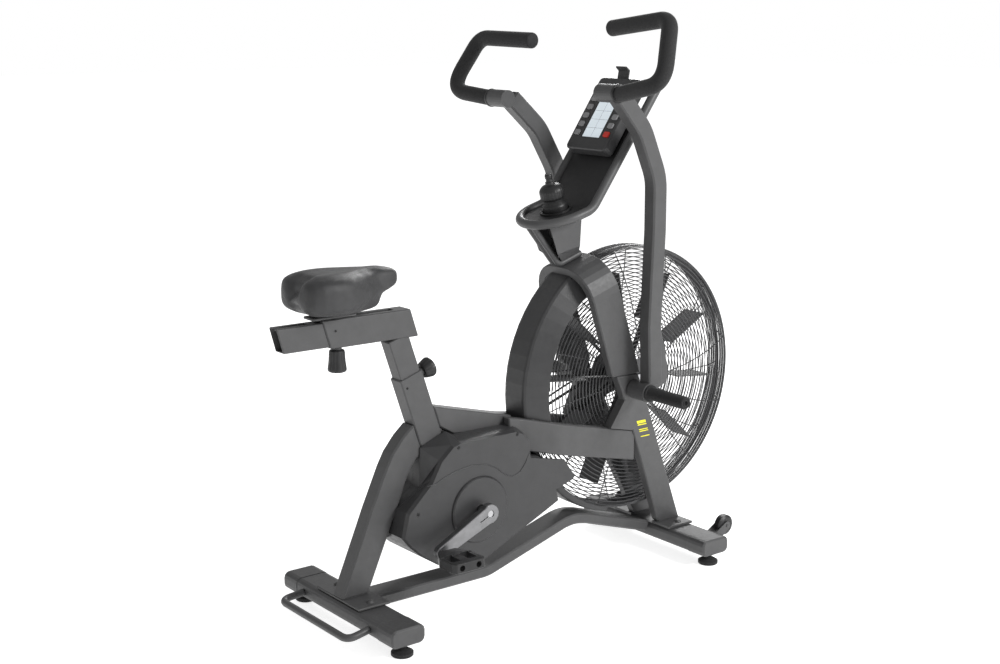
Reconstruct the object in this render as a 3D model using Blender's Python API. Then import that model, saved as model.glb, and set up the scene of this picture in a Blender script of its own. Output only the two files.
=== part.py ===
"""Air bike: a fan exercise bike with rocking arms, built as separate named parts.

Units are metres and degrees.  X runs forward, Y to the rider's left, Z up.  Distances along X are
stations, measured forward from the back face of the rear stabiliser; place() moves every finished
part so that the origin lies on the floor under the middle of the bike's bounding box.
"""

import math

import bmesh
import bpy
from mathutils import Matrix, Vector

# ---- driving sizes -------------------------------------------------------------------------------

MIDDLE_STATION = 0.53426  # station that lies over the origin
GAP = 0.0003  # clearance between parts that touch
CUT_GAP = 0.0006  # clearance of an opening round the part that passes through it

TUBE_LOW, TUBE_HIGH = 0.029, 0.071  # stabiliser tubes
TUBE_DEPTH = 0.088
FRONT_TUBE_BACK = 0.936
STABILISER_HALF = 0.2325
PLATE_THICK = 0.006

SEAT_TOP = (0.201, 0.569)  # middle of the sleeve's upper end
SEAT_LEAN = (-0.3220, 0.9467)  # unit direction in which the seat post rises
SLEEVE_LENGTH = 0.268
SLEEVE_DEPTH, SLEEVE_WIDTH = 0.063, 0.044
SLEEVE_BORE_DEPTH, SLEEVE_BORE_WIDTH = 0.0565, 0.0392
POST_DEPTH, POST_WIDTH = 0.055, 0.038
POST_IN_SLEEVE = 0.140

RAIL_BOTTOM, RAIL_TOP = 0.657, 0.722
KNOB_STATION = 0.020

CRANK = (0.352, 0.236)  # crank axis, station and height
CRANK_LENGTH = 0.152
CRANK_LEAN_DEG = 204.9  # direction of the right crank in the XZ plane
CRANK_INNER, CRANK_OUTER = 0.103, 0.121
PEDAL_MIDDLE, PEDAL_WIDTH = 0.181, 0.094

FAN = (0.869, 0.467)  # fan axis, station and height
CAGE_RADIUS = 0.336
CAGE_RIM_HALF = 0.031
CAGE_DOME = 0.034
CAGE_WALL = 0.0022
HUB_HOLE = 0.014
BLADE_COUNT = 10
BLADE_TIP, BLADE_ROOT = 0.280, 0.152
BLADE_HALF_WIDTH = 0.036
FIRST_BLADE_DEG = -6.5
BELT_INNER, BELT_OUTER = 0.0455, 0.0545
CRANK_PULLEY, FAN_PULLEY = 0.063, 0.018

PIVOT = (0.803, 0.464)  # axis of the rocking arms and of the foot pegs
PIVOT_ROD = 0.010
ARM_INNER, ARM_OUTER = 0.128, 0.166
LEG_TOP = 0.500
LEG_THICK = 0.025
HOOP_HALF = 0.105

LOOP_HALF = 0.088  # the console tube's half width
LOOP_TUBE = 0.011

COLOURS = {
    "frame_paint": ((0.105, 0.105, 0.107), 0.46, 0.0),
    "cover_plastic": ((0.075, 0.075, 0.077), 0.55, 0.0),
    "black_plastic": ((0.022, 0.022, 0.023), 0.50, 0.0),
    "rubber": ((0.020, 0.020, 0.021), 0.85, 0.0),
    "saddle_cover": ((0.024, 0.024, 0.026), 0.60, 0.0),
    "alloy": ((0.620, 0.620, 0.630), 0.34, 1.0),
    "steel": ((0.480, 0.480, 0.490), 0.35, 1.0),
    "cage_wire": ((0.160, 0.160, 0.165), 0.42, 0.0),
    "screen_glass": ((0.600, 0.660, 0.700), 0.25, 0.0),
    "button_plastic": ((0.130, 0.130, 0.132), 0.50, 0.0),
    "red_button": ((0.620, 0.030, 0.020), 0.45, 0.0),
}


# ---- scene and materials -------------------------------------------------------------------------


def clear_scene():
    """Remove every object of the open file."""
    for item in list(bpy.data.objects):
        bpy.data.objects.remove(item, do_unlink=True)


def material(slot):
    """Return the Principled material of a slot, made on first use."""
    found = bpy.data.materials.get(slot)
    if found:
        return found
    colour, roughness, metallic = COLOURS[slot]
    made = bpy.data.materials.new(slot)
    made.use_nodes = True
    shader = made.node_tree.nodes["Principled BSDF"]
    shader.inputs["Base Color"].default_value = (*colour, 1.0)
    shader.inputs["Roughness"].default_value = roughness
    shader.inputs["Metallic"].default_value = metallic
    return made


# ---- solids --------------------------------------------------------------------------------------


def loft(rings, closed=False):
    """Skin a row of equal rings of points; a closed row joins its last ring to its first."""
    mesh = bmesh.new()
    made = [[mesh.verts.new(point) for point in ring] for ring in rings]
    count = len(rings[0])
    spans = len(rings) if closed else len(rings) - 1
    for step in range(spans):
        near, far = made[step], made[(step + 1) % len(rings)]
        for index in range(count):
            after = (index + 1) % count
            mesh.faces.new((near[index], near[after], far[after], far[index]))
    if not closed:
        mesh.faces.new(made[0])
        mesh.faces.new(made[-1])
    return solid(mesh)


def solid(mesh):
    """Turn a bmesh into an object with outward faces."""
    bmesh.ops.recalc_face_normals(mesh, faces=mesh.faces)
    data = bpy.data.meshes.new("solid")
    mesh.to_mesh(data)
    mesh.free()
    made = bpy.data.objects.new("solid", data)
    bpy.context.scene.collection.objects.link(made)
    return made


def side_prism(outline, low_y, high_y):
    """Extrude an outline of (station, height) points between two values of Y."""
    return loft([[(x, y, z) for x, z in outline] for y in (low_y, high_y)])


def box(low, high):
    """Solid box between two corners."""
    outline = [(low[0], low[2]), (high[0], low[2]), (high[0], high[2]), (low[0], high[2])]
    return side_prism(outline, low[1], high[1])


def turned(profile, centre, axis=(0, 1, 0), steps=32):
    """Turn a row of (radius, distance along the axis) points about an axis, with flat ends."""
    turn = Vector((0, 0, 1)).rotation_difference(Vector(axis)).to_matrix()
    rings = []
    for radius, along in profile:
        ring = []
        for index in range(steps):
            angle = math.tau * index / steps
            point = Vector((radius * math.cos(angle), radius * math.sin(angle), along))
            ring.append(Vector(centre) + turn @ point)
        rings.append(ring)
    return loft(rings)


def turned_ring(profile, centre, axis=(0, 1, 0), steps=32):
    """Turn a closed outline of (radius, distance) points about an axis that it doesn't touch."""
    turn = Vector((0, 0, 1)).rotation_difference(Vector(axis)).to_matrix()
    rings = []
    for index in range(steps):
        angle = math.tau * index / steps
        ring = []
        for radius, along in profile:
            point = Vector((radius * math.cos(angle), radius * math.sin(angle), along))
            ring.append(Vector(centre) + turn @ point)
        rings.append(ring)
    return loft(rings, closed=True)


def rod(start, end, radius, steps=20):
    """Round bar between two points."""
    start, end = Vector(start), Vector(end)
    length = (end - start).length
    return turned([(radius, 0.0), (radius, length)], start, (end - start) / length, steps)


def tube(path, radius, steps=10):
    """Round bar along a smooth row of points, without twist."""
    points = [Vector(point) for point in path]
    ways = []
    for index in range(len(points)):
        before = points[max(index - 1, 0)]
        after = points[min(index + 1, len(points) - 1)]
        ways.append((after - before).normalized())
    side = ways[0].orthogonal().normalized()
    rings = []
    for point, way in zip(points, ways):
        side = (side - way * side.dot(way)).normalized()
        up = way.cross(side)
        ring = []
        for index in range(steps):
            angle = math.tau * index / steps
            ring.append(point + radius * (side * math.cos(angle) + up * math.sin(angle)))
        rings.append(ring)
    return loft(rings)


def arc(centre, radius, start_deg, end_deg, steps):
    """Points on a circle, first and last included."""
    points = []
    for index in range(steps + 1):
        angle = math.radians(start_deg + (end_deg - start_deg) * index / steps)
        points.append((centre[0] + radius * math.cos(angle), centre[1] + radius * math.sin(angle)))
    return points


def filleted(points, radius, steps=4):
    """Round the inner corners of an open path of 2-D or 3-D points."""
    row = [Vector(point) for point in points]
    made = [row[0]]
    for before, corner, after in zip(row, row[1:], row[2:]):
        back, ahead = (before - corner).normalized(), (after - corner).normalized()
        half = back.angle(ahead) / 2
        reach = min(radius / math.tan(half), 0.45 * (before - corner).length,
                    0.45 * (after - corner).length)
        for index in range(steps + 1):
            share = index / steps
            start, end = corner + back * reach, corner + ahead * reach
            made.append(start.lerp(corner, share).lerp(corner.lerp(end, share), share))
    made.append(row[-1])
    return [tuple(point) for point in made]


def ribbon(path, thickness):
    """Outline of a strip of even thickness along a 2-D path."""
    points = [Vector(point) for point in path]
    left, right = [], []
    for index, point in enumerate(points):
        before = points[max(index - 1, 0)]
        after = points[min(index + 1, len(points) - 1)]
        way = (after - before).normalized()
        normal = Vector((-way.y, way.x))
        left.append(tuple(point + normal * thickness / 2))
        right.append(tuple(point - normal * thickness / 2))
    return left + right[::-1]


def rounded_box_outline(low, high, radius, steps=3):
    """Corner points of a rectangle with round corners."""
    corners = (
        ((high[0] - radius, high[1] - radius), 0),
        ((low[0] + radius, high[1] - radius), 90),
        ((low[0] + radius, low[1] + radius), 180),
        ((high[0] - radius, low[1] + radius), 270),
    )
    outline = []
    for centre, start in corners:
        outline += arc(centre, radius, start, start + 90, steps)
    return outline


def combine(target, tool, operation):
    """Apply a Boolean of a tool that is then removed."""
    modifier = target.modifiers.new("combine", "BOOLEAN")
    modifier.operation = operation
    modifier.solver = "EXACT"
    modifier.object = tool
    graph = bpy.context.evaluated_depsgraph_get()
    data = bpy.data.meshes.new_from_object(target.evaluated_get(graph))
    target.modifiers.clear()
    target.data = data
    bpy.data.objects.remove(tool, do_unlink=True)
    return target


def join(target, *tools):
    """Weld solids that overlap into one body."""
    for tool in tools:
        combine(target, tool, "UNION")
    return target


def cut(target, *tools):
    """Remove the space of each tool from a solid."""
    for tool in tools:
        combine(target, tool, "DIFFERENCE")
    return target


def soften(item, width, steps=1, sharp_deg=50):
    """Round the sharp edges of a solid."""
    mesh = bmesh.new()
    mesh.from_mesh(item.data)
    bmesh.ops.dissolve_limit(
        mesh, angle_limit=math.radians(1), verts=mesh.verts[:], edges=mesh.edges[:]
    )
    limit = math.radians(sharp_deg)
    edges = [edge for edge in mesh.edges if len(edge.link_faces) == 2 and edge.calc_face_angle() > limit]
    bmesh.ops.bevel(
        mesh, geom=edges, offset=width, segments=steps, profile=0.5, affect="EDGES", clamp_overlap=True
    )
    mesh.to_mesh(item.data)
    mesh.free()
    return item


def place(item, name, slot, pivot=None):
    """Name a finished solid, give it its material and put its origin on its pivot."""
    item.name = name
    item.data.name = name
    item.data.materials.clear()
    item.data.materials.append(material(slot))
    item.data.shade_smooth()
    item.data.set_sharp_from_angle(angle=math.radians(35))
    point = Vector(pivot) if pivot else Vector((MIDDLE_STATION, 0, 0))
    item.data.transform(Matrix.Translation(-point))
    item.location = point - Vector((MIDDLE_STATION, 0, 0))
    return item


def mirrored(item):
    """Copy a solid to the other side of the bike."""
    data = item.data.copy()
    data.transform(Matrix.Diagonal((1, -1, 1, 1)))
    data.flip_normals()
    made = bpy.data.objects.new("solid", data)
    bpy.context.scene.collection.objects.link(made)
    return made


def place_pair(right, name, slot, pivot=None):
    """Place a right-hand solid and its mirror image."""
    left = mirrored(right)
    place(right, name + "_right", slot, pivot)
    other = (pivot[0], -pivot[1], pivot[2]) if pivot else None
    place(left, name + "_left", slot, other)


def turned_about(item, centre, degrees):
    """Turn a solid about an axis along Y through a (station, height) point, nose down if positive."""
    point = Vector((centre[0], 0, centre[1]))
    turn = Matrix.Rotation(math.radians(degrees), 4, "Y")
    item.data.transform(Matrix.Translation(point) @ turn @ Matrix.Translation(-point))
    return item


def along_seat(distance, offset=0.0):
    """Point in the XZ plane, measured up the seat post from the sleeve's top and square to it."""
    x = SEAT_TOP[0] + SEAT_LEAN[0] * distance + SEAT_LEAN[1] * offset
    z = SEAT_TOP[1] + SEAT_LEAN[1] * distance - SEAT_LEAN[0] * offset
    return (x, z)


def seat_block(low, high, depth, width):
    """Block that lies square along the seat post."""
    outline = [
        along_seat(low, -depth / 2),
        along_seat(low, depth / 2),
        along_seat(high, depth / 2),
        along_seat(high, -depth / 2),
    ]
    return side_prism(outline, -width / 2, width / 2)


def dome_bolt(x, y, z):
    """Dome head of a carriage bolt on a plate top."""
    return turned([(0.0085, -0.002), (0.0085, 0.001), (0.0062, 0.0042), (0.0022, 0.0056)], (x, y, z),
                  (0, 0, 1), 12)


# ---- ground frame --------------------------------------------------------------------------------


def stabiliser(back):
    """Cross tube with slightly larger slip-on end caps."""
    cap_length, cap_step, chamfer, radius = 0.060, 0.0010, 0.004, 0.014
    cap_start = STABILISER_HALF - cap_length
    half_row = ((STABILISER_HALF, chamfer), (STABILISER_HALF - chamfer, 0), (cap_start, 0),
                (cap_start, cap_step))
    row = [(-y, inset) for y, inset in half_row] + [(y, inset) for y, inset in half_row[::-1]]
    rings = []
    for y, inset in row:
        low = (back + inset, TUBE_LOW + inset)
        high = (back + TUBE_DEPTH - inset, TUBE_HIGH - inset)
        outline = rounded_box_outline(low, high, radius - inset)
        rings.append([(x, y, z) for x, z in outline])
    return loft(rings)


WHEEL = (1.058, 0.080)
WHEEL_Y = 0.180
WHEEL_RADIUS, WHEEL_WIDTH = 0.026, 0.022


def make_stabilisers():
    place(stabiliser(0.0), "rear_stabiliser", "frame_paint")
    front = stabiliser(FRONT_TUBE_BACK)
    cheek_thick, cheek_gap, boss = 0.003, 0.0010, 0.011
    outline = [(1.0115, 0.0465), (1.0275, 0.0465)] + arc(WHEEL, boss, -55, 120, 5) + [(1.0115, 0.0655)]
    half = WHEEL_WIDTH / 2 + cheek_gap + cheek_thick
    for side in (-1, 1):
        middle = side * WHEEL_Y
        for reach in (-1, 1):
            low, high = sorted((middle + reach * half, middle + reach * (half - cheek_thick)))
            join(front, side_prism(outline, low, high))
        ends = [(WHEEL[0], middle + reach * (half + 0.002), WHEEL[1]) for reach in (-1, 1)]
        join(front, rod(ends[0], ends[1], 0.0042, 14))
    place(front, "front_stabiliser", "frame_paint")


def make_wheels():
    half = WHEEL_WIDTH / 2
    profile = [(0.0045, -half), (0.020, -half), (WHEEL_RADIUS, -half + 0.004), (WHEEL_RADIUS, half - 0.004),
               (0.020, half), (0.0045, half)]
    right = turned_ring(profile, (WHEEL[0], -WHEEL_Y, WHEEL[1]), steps=28)
    place_pair(right, "transport_wheel", "black_plastic", (WHEEL[0], -WHEEL_Y, WHEEL[1]))


def make_feet():
    foot_y, pad = 0.205, 0.025
    top = TUBE_LOW - GAP
    profile = [(pad - 0.002, 0), (pad, 0.002), (pad, 0.009), (0.017, 0.014), (0.009, 0.016), (0.009, top)]
    for end, back in (("rear", 0.0), ("front", FRONT_TUBE_BACK)):
        station = back + TUBE_DEPTH / 2
        foot = turned(profile, (station, -foot_y, 0), (0, 0, 1), 24)
        place_pair(foot, end + "_foot", "rubber", (station, -foot_y, 0))


def make_carry_handle():
    rod_radius = 0.0085
    half = [(-GAP, -0.140, 0.048), (-0.057, -0.145, 0.040), (-0.057, 0.0, 0.040)]
    near = filleted(half, 0.030, 5)
    path = near[:-1] + [(x, -y, z) for x, y, z in near[-2::-1]]
    place(tube(path, rod_radius, 12), "rear_carry_handle", "frame_paint")


BASE_PATH = [(0.0886, 0.0565), (0.412, 0.0565), (0.652, 0.1280), (0.686, 0.1325), (0.722, 0.1255),
             (0.9313, 0.0605)]
BASE_THICK, BASE_HALF = 0.027, 0.034


def make_base_tube():
    outline = ribbon(filleted(BASE_PATH, 0.10, 3), BASE_THICK)
    place(soften(side_prism(outline, -BASE_HALF, BASE_HALF), 0.004), "base_tube", "frame_paint")


def upright_outline():
    """Side view of the leaning rectangular tube, cut to the sleeve's back face."""
    foot_back, foot_front = (0.0061, 0.0762), (0.0769, 0.0762)
    back_bend = [(0.0885, 0.2702), (0.1131, 0.3237), (0.1305, 0.3617), (0.1480, 0.3930), (0.1760, 0.4260)]
    front_bend = [(0.2150, 0.3715), (0.2010, 0.3530), (0.1895, 0.3340), (0.1800, 0.3130), (0.1721, 0.2912)]
    face = -SLEEVE_DEPTH / 2 - GAP
    return [foot_back] + back_bend + [along_seat(-0.112, face),
                                      along_seat(-0.196, face)] + front_bend + [foot_front]


def make_rear_upright():
    body = soften(side_prism(upright_outline(), -0.022, 0.022), 0.004)
    plate_half = 0.092
    plate = box((0.007, -plate_half, TUBE_HIGH + GAP), (0.090, plate_half, TUBE_HIGH + GAP + PLATE_THICK))
    join(body, soften(plate, 0.0015))
    for side in (-1, 1):
        join(body, dome_bolt(0.050, side * 0.070, TUBE_HIGH + GAP + PLATE_THICK))
    place(body, "rear_upright", "frame_paint")


def make_seat_sleeve():
    body = soften(seat_block(-SLEEVE_LENGTH, 0.0, SLEEVE_DEPTH, SLEEVE_WIDTH), 0.003)
    boss_at = -0.014
    start = along_seat(boss_at, SLEEVE_DEPTH / 2 - 0.002)
    end = along_seat(boss_at, SLEEVE_DEPTH / 2 + 0.009)
    join(body, rod((start[0], 0, start[1]), (end[0], 0, end[1]), 0.011, 16))
    cut(body, seat_block(-SLEEVE_LENGTH - 0.01, 0.01, SLEEVE_BORE_DEPTH, SLEEVE_BORE_WIDTH))
    place(body, "seat_sleeve", "frame_paint")


TOP_TUBE_FRONT = 0.4895


def make_top_tube():
    face = SLEEVE_DEPTH / 2 + GAP
    outline = [along_seat(-0.098, face), (TOP_TUBE_FRONT, 0.4285), (TOP_TUBE_FRONT, 0.4000),
               (0.3180, 0.4120),
               along_seat(-0.152, face)]
    place(soften(side_prism(outline, -0.022, 0.022), 0.003), "top_tube", "frame_paint")


RAIL_BAR_THICK, RAIL_BAR_HEIGHT = 0.025, 0.078
RAIL_BAR_SLOPE = -0.226  # rise per metre forward


def rail_top(x):
    return 0.3850 + RAIL_BAR_SLOPE * (x - 0.498) + RAIL_BAR_HEIGHT / 2


def side_rail(extra=0.0):
    """Right bar past the fan: leaves the top tube's flank, swings out and runs to the front leg."""
    plan = filleted([(0.462, -0.0350), (0.498, -0.0350), (0.590, -0.0680), (0.640, -0.0710),
                     (0.830, -0.0735)], 0.09, 4)
    outline = ribbon(plan, RAIL_BAR_THICK + 2 * extra)
    half_height = RAIL_BAR_HEIGHT / 2 + extra
    rings = []
    for reach in (-half_height, half_height):
        rings.append([(x, y, rail_top(x) - RAIL_BAR_HEIGHT / 2 + reach) for x, y in outline])
    return loft(rings)


def belt_tunnel():
    """Slot through the left rail's bend for the upper run of the drive belt."""
    reach = Vector((FAN[0] - CRANK[0], FAN[1] - CRANK[1]))
    swing = math.acos((CRANK_PULLEY - FAN_PULLEY) / reach.length)
    angle = math.atan2(reach.y, reach.x) + swing
    outward = Vector((math.cos(angle), math.sin(angle)))
    start, end = Vector(CRANK) + outward * CRANK_PULLEY, Vector(FAN) + outward * FAN_PULLEY
    low, high = start.lerp(end, 0.10), start.lerp(end, 0.62)
    reaches = (-0.0045, 0.0075)
    outline = [tuple(low + outward * step) for step in reaches] + [tuple(high + outward * step)
                                                                   for step in reaches[::-1]]
    return side_prism(outline, BELT_INNER - 0.0025, BELT_OUTER + 0.0025)


def make_side_rails():
    body = soften(side_rail(), 0.003)
    back_edge = [leg_back(z) - GAP for z in (0.20, 0.50)]
    keep_out = side_prism([(back_edge[0], 0.20), (1.0, 0.20), (1.0, 0.50), (back_edge[1], 0.50)], -0.2, 0.0)
    cut(body, keep_out)
    left = mirrored(body)
    cut(left, belt_tunnel())
    place(body, "side_rail_right", "frame_paint")
    place(left, "side_rail_left", "frame_paint")


def leg_back(z):
    return 0.948 - 0.460 * (z - TUBE_HIGH)


def leg_front(z):
    return 1.021 - 0.470 * (z - TUBE_HIGH)


def leg_face(z):
    """Outer face of a front leg: it leans out up to the pivot, then stands upright."""
    return -min(0.057 + 0.122 * (z - TUBE_HIGH), HOOP_HALF)



def leg_plate(outline):
    """Right leg plate that follows leg_face, from an outline in side view."""
    return loft([[(x, leg_face(z) + inset, z) for x, z in outline] for inset in (0, LEG_THICK)])


def make_front_legs():
    """Flat leg that leans out, its gusset, and its half of the foot plate."""
    foot = TUBE_HIGH + GAP + PLATE_THICK - 0.0005
    lean_top = TUBE_HIGH + (HOOP_HALF - 0.057) / 0.122
    rings = []
    for z in (foot, lean_top, LEG_TOP):
        outer, inner = leg_face(z), leg_face(z) + LEG_THICK
        rings.append([(leg_front(z), outer, z), (leg_back(z), outer, z), (leg_back(z), inner, z),
                      (leg_front(z), inner, z)])
    body = soften(loft(rings), 0.0025)
    gusset = [(0.780, 0.437)] + [(x, rail_top(x) + GAP) for x in (0.742, 0.8160)]
    gusset += [(leg_back(z) + 0.010, z) for z in (0.360, 0.430)]
    plate = box((0.938, -0.105, TUBE_HIGH + GAP), (1.020, -0.0405, TUBE_HIGH + GAP + PLATE_THICK))
    bolt = dome_bolt(0.985, -0.088, TUBE_HIGH + GAP + PLATE_THICK)
    join(body, leg_plate(gusset), plate, bolt)
    place_pair(body, "front_leg", "frame_paint")


HOOP_WIDTH, HOOP_THICK = 0.0855, 0.024


HOOP_LEAN_DEG = 18.3
HOOP_CROWN = (0.6885, 0.7840)  # middle of the top face, station and height
HOOP_BEND = 0.085


def on_hoop(across, down):
    """Point in side view, measured forward across the hoop and down along its lean."""
    lean = math.radians(HOOP_LEAN_DEG)
    x = HOOP_CROWN[0] + across * math.cos(lean) + down * math.sin(lean)
    z = HOOP_CROWN[1] + across * math.sin(lean) - down * math.cos(lean)
    return (x, z)


def hoop_line(across, inset, foot):
    """One edge of the leaning inverted U, from foot to foot."""
    lean = math.radians(HOOP_LEAN_DEG)
    low = (HOOP_CROWN[1] + across * math.sin(lean) - foot) / math.cos(lean)
    half, radius = HOOP_HALF - inset, HOOP_BEND - inset
    right = arc((half - radius, inset + radius), radius, 0, -90, 8)
    row = [(half, low)] + right + [(-y, down) for y, down in right[::-1]] + [(-half, low)]
    points = []
    for y, down in row:
        x, z = on_hoop(across, down)
        points.append((x, y, z))
    return points


def hoop_block(extra=0.0):
    """Inverted U of flat tube that leans back over the fan."""
    rings = []
    for across in (-HOOP_WIDTH / 2 - extra, HOOP_WIDTH / 2 + extra):
        outer = hoop_line(across, -extra, LEG_TOP + GAP - extra)
        inner = hoop_line(across, HOOP_THICK + extra, LEG_TOP + GAP - extra)
        rings.append(outer + inner[::-1])
    return loft(rings)


def make_fan_hoop():
    """Hoop, hollowed underneath where the fan cage passes."""
    body = soften(hoop_block(), 0.003)
    clear, half = CAGE_RADIUS + 0.004, CAGE_RIM_HALF + 0.006
    cut(body, turned([(clear, -half), (clear, half)], (FAN[0], 0, FAN[1]), steps=72))
    place(body, "fan_hoop", "frame_paint")


# ---- drive ---------------------------------------------------------------------------------------


BRACE = [(0.1308, 0.1950), (0.1660, 0.2740), (0.3400, 0.2520), (0.3400, 0.2200)]
BRACE_HALF = 0.012


def make_bottom_bracket():
    """Bearing shell of the cranks, carried from the upright by a plate bracket."""
    shell = turned([(0.022, -0.034), (0.022, 0.027)], (CRANK[0], 0, CRANK[1]), steps=28)
    join(shell, side_prism(BRACE, -BRACE_HALF, BRACE_HALF))
    cut(shell, turned([(0.0105, -0.05), (0.0105, 0.05)], (CRANK[0], 0, CRANK[1]), steps=24))
    place(shell, "bottom_bracket", "frame_paint")


def make_crank_axle():
    """Spindle with the large belt pulley on the rider's left."""
    rim = CRANK_PULLEY
    flange = (rim + 0.004, BELT_OUTER + 0.001)
    spindle = [(0.0085, 0.002 - CRANK_OUTER), (0.0085, CRANK_OUTER - 0.002)]
    shoulder = [(0.0100, 0.0003 - CRANK_INNER), (0.0100, CRANK_INNER - 0.0003)]
    wheel = [(rim, BELT_INNER - 0.001), (rim, BELT_OUTER + 0.001), flange, (flange[0], flange[1] + 0.002)]
    centre = (CRANK[0], 0, CRANK[1])
    body = turned(shoulder, centre, steps=16)
    join(body, turned(spindle, centre, steps=16), turned([(0.028, 0.0285), (0.028, BELT_OUTER)], centre,
                                                         steps=20))
    join(body, turned(wheel, centre, steps=40))
    place(body, "crank_axle", "steel", (CRANK[0], 0, CRANK[1]))


def belt_outline(extra):
    """Outer tangent line round both pulleys."""
    reach = Vector((FAN[0] - CRANK[0], FAN[1] - CRANK[1]))
    heading = math.degrees(math.atan2(reach.y, reach.x))
    swing = math.degrees(math.acos((CRANK_PULLEY - FAN_PULLEY) / reach.length))
    big = arc(CRANK, CRANK_PULLEY + extra, heading + swing, heading + 360 - swing, 24)
    small = arc(FAN, FAN_PULLEY + extra, heading - swing, heading + swing, 14)
    return big + small


def make_drive_belt():
    belt_thick = 0.0028
    inner, outer = belt_outline(2 * GAP), belt_outline(2 * GAP + belt_thick)
    rings = []
    for near, far in zip(inner, outer):
        rings.append([(near[0], BELT_INNER, near[1]), (far[0], BELT_INNER, far[1]),
                      (far[0], BELT_OUTER, far[1]), (near[0], BELT_OUTER, near[1])])
    place(loft(rings, closed=True), "drive_belt", "rubber")


def crank_blade():
    """Right crank along +X from its axle to its pedal eye, at the origin."""
    thick = CRANK_OUTER - CRANK_INNER
    big, small = 0.0235, 0.0145
    outline = arc((0, 0), big, 62, 298, 10) + arc((CRANK_LENGTH, 0), small, -82, 82, 8)
    body = soften(side_prism(outline, -thick / 2, thick / 2), 0.0018)
    for centre, radius in ((0.0, 0.0089), (CRANK_LENGTH, 0.0070)):
        cut(body, turned([(radius, -thick), (radius, thick)], (centre, 0, 0), steps=18))
    pinch_slot = box((0.004, -thick, -0.0012), (0.034, thick, 0.0012))
    return cut(body, pinch_slot)


def crank_tip(side):
    """End of one crank in the XZ plane; the left one is half a turn away."""
    angle = math.radians(CRANK_LEAN_DEG + (0 if side < 0 else 180))
    return (CRANK[0] + CRANK_LENGTH * math.cos(angle), CRANK[1] + CRANK_LENGTH * math.sin(angle))


def make_cranks():
    for side, name in ((-1, "right"), (1, "left")):
        body = crank_blade()
        lean = CRANK_LEAN_DEG + (0 if side < 0 else 180)
        body.data.transform(Matrix.Rotation(math.radians(-lean), 4, "Y"))
        middle = side * (CRANK_INNER + CRANK_OUTER) / 2
        body.data.transform(Matrix.Translation((CRANK[0], middle, CRANK[1])))
        place(body, "crank_arm_" + name, "alloy", (CRANK[0], middle, CRANK[1]))


def pedal_body(side, tip):
    """Platform that is narrow at the crank, with treads, windows and holes in its outer bar."""
    half_length, half_thick, neck = 0.044, 0.0115, 0.024
    inner, outer = PEDAL_MIDDLE - PEDAL_WIDTH / 2, PEDAL_MIDDLE + PEDAL_WIDTH / 2
    plan = [(-neck, inner), (neck, inner), (half_length, inner + 0.036), (half_length, outer - 0.010),
            (half_length - 0.007, outer), (0.007 - half_length, outer), (-half_length, outer - 0.010),
            (-half_length, inner + 0.036)]
    rings = [[(tip[0] + x, side * y, tip[1] + z) for x, y in plan] for z in (-half_thick, half_thick)]
    body = soften(loft(rings), 0.0015)
    window = (inner + 0.034, outer - 0.018)
    low, high = sorted(side * y for y in window)
    for reach in (-1, 1):
        x = tip[0] + reach * 0.0225
        cut(body, box((x - 0.0115, low, tip[1] - 0.02), (x + 0.0115, high, tip[1] + 0.02)))
        hole = rod((x, side * (outer - 0.020), tip[1]), (x, side * (outer + 0.002), tip[1]), 0.0072, 14)
        cut(body, hole)
        for tread in (-1, 1):
            groove = box((tip[0] - 0.05, low + 0.004, tip[1] + tread * 0.0135 - 0.004),
                         (tip[0] + 0.05, high - 0.004, tip[1] + tread * 0.0135 + 0.004))
            cut(body, groove)
    return body


def make_pedals():
    """Platform pedals, each on its own spindle."""
    spindle = 0.0066
    for side, name in ((-1, "right"), (1, "left")):
        tip = crank_tip(side)
        inner = PEDAL_MIDDLE - PEDAL_WIDTH / 2
        pin = rod((tip[0], side * (CRANK_INNER + 0.001), tip[1]), (tip[0], side * (inner + 0.02), tip[1]),
                  spindle, 16)
        body = join(pedal_body(side, tip), pin)
        place(body, "pedal_" + name, "black_plastic", (tip[0], side * PEDAL_MIDDLE, tip[1]))


# ---- fan -----------------------------------------------------------------------------------------


def cage_half_width(radius):
    """Outer face of the cage's dished side at a radius."""
    return CAGE_RIM_HALF + CAGE_DOME * (1 - (radius / CAGE_RADIUS) ** 2)


def make_fan_cages():
    """Two dished guards that meet at the fan's middle plane; the left one has the belt's window."""
    radii = [CAGE_RADIUS * share for share in (0.93, 0.72, 0.45)] + [HUB_HOLE]
    outer = [(CAGE_RADIUS, GAP), (CAGE_RADIUS, CAGE_RIM_HALF)] + [(r, cage_half_width(r)) for r in radii]
    inner = []
    for radius, y in outer:
        inner.append((max(radius - CAGE_WALL, HUB_HOLE) if radius == CAGE_RADIUS else radius,
                      y - CAGE_WALL))
    inner[0] = (CAGE_RADIUS - CAGE_WALL, GAP)
    profile = outer + inner[::-1]
    centre = (FAN[0], 0, FAN[1])
    right = turned_ring([(r, -y) for r, y in profile], centre, steps=48)
    left = turned_ring(profile, centre, steps=48)
    heading = Vector((CRANK[0] - FAN[0], CRANK[1] - FAN[1])).normalized()
    across = Vector((-heading.y, heading.x))
    corners = []
    for distance, reach in ((0.060, 0.036), (0.290, 0.066), (0.290, -0.066), (0.060, -0.036)):
        point = Vector(FAN) + heading * distance + across * reach
        corners.append(tuple(point))
    cut(left, side_prism(corners, 0.020, 0.080))
    place(right, "fan_cage_right", "cage_wire", centre)
    place(left, "fan_cage_left", "cage_wire", centre)


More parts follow.
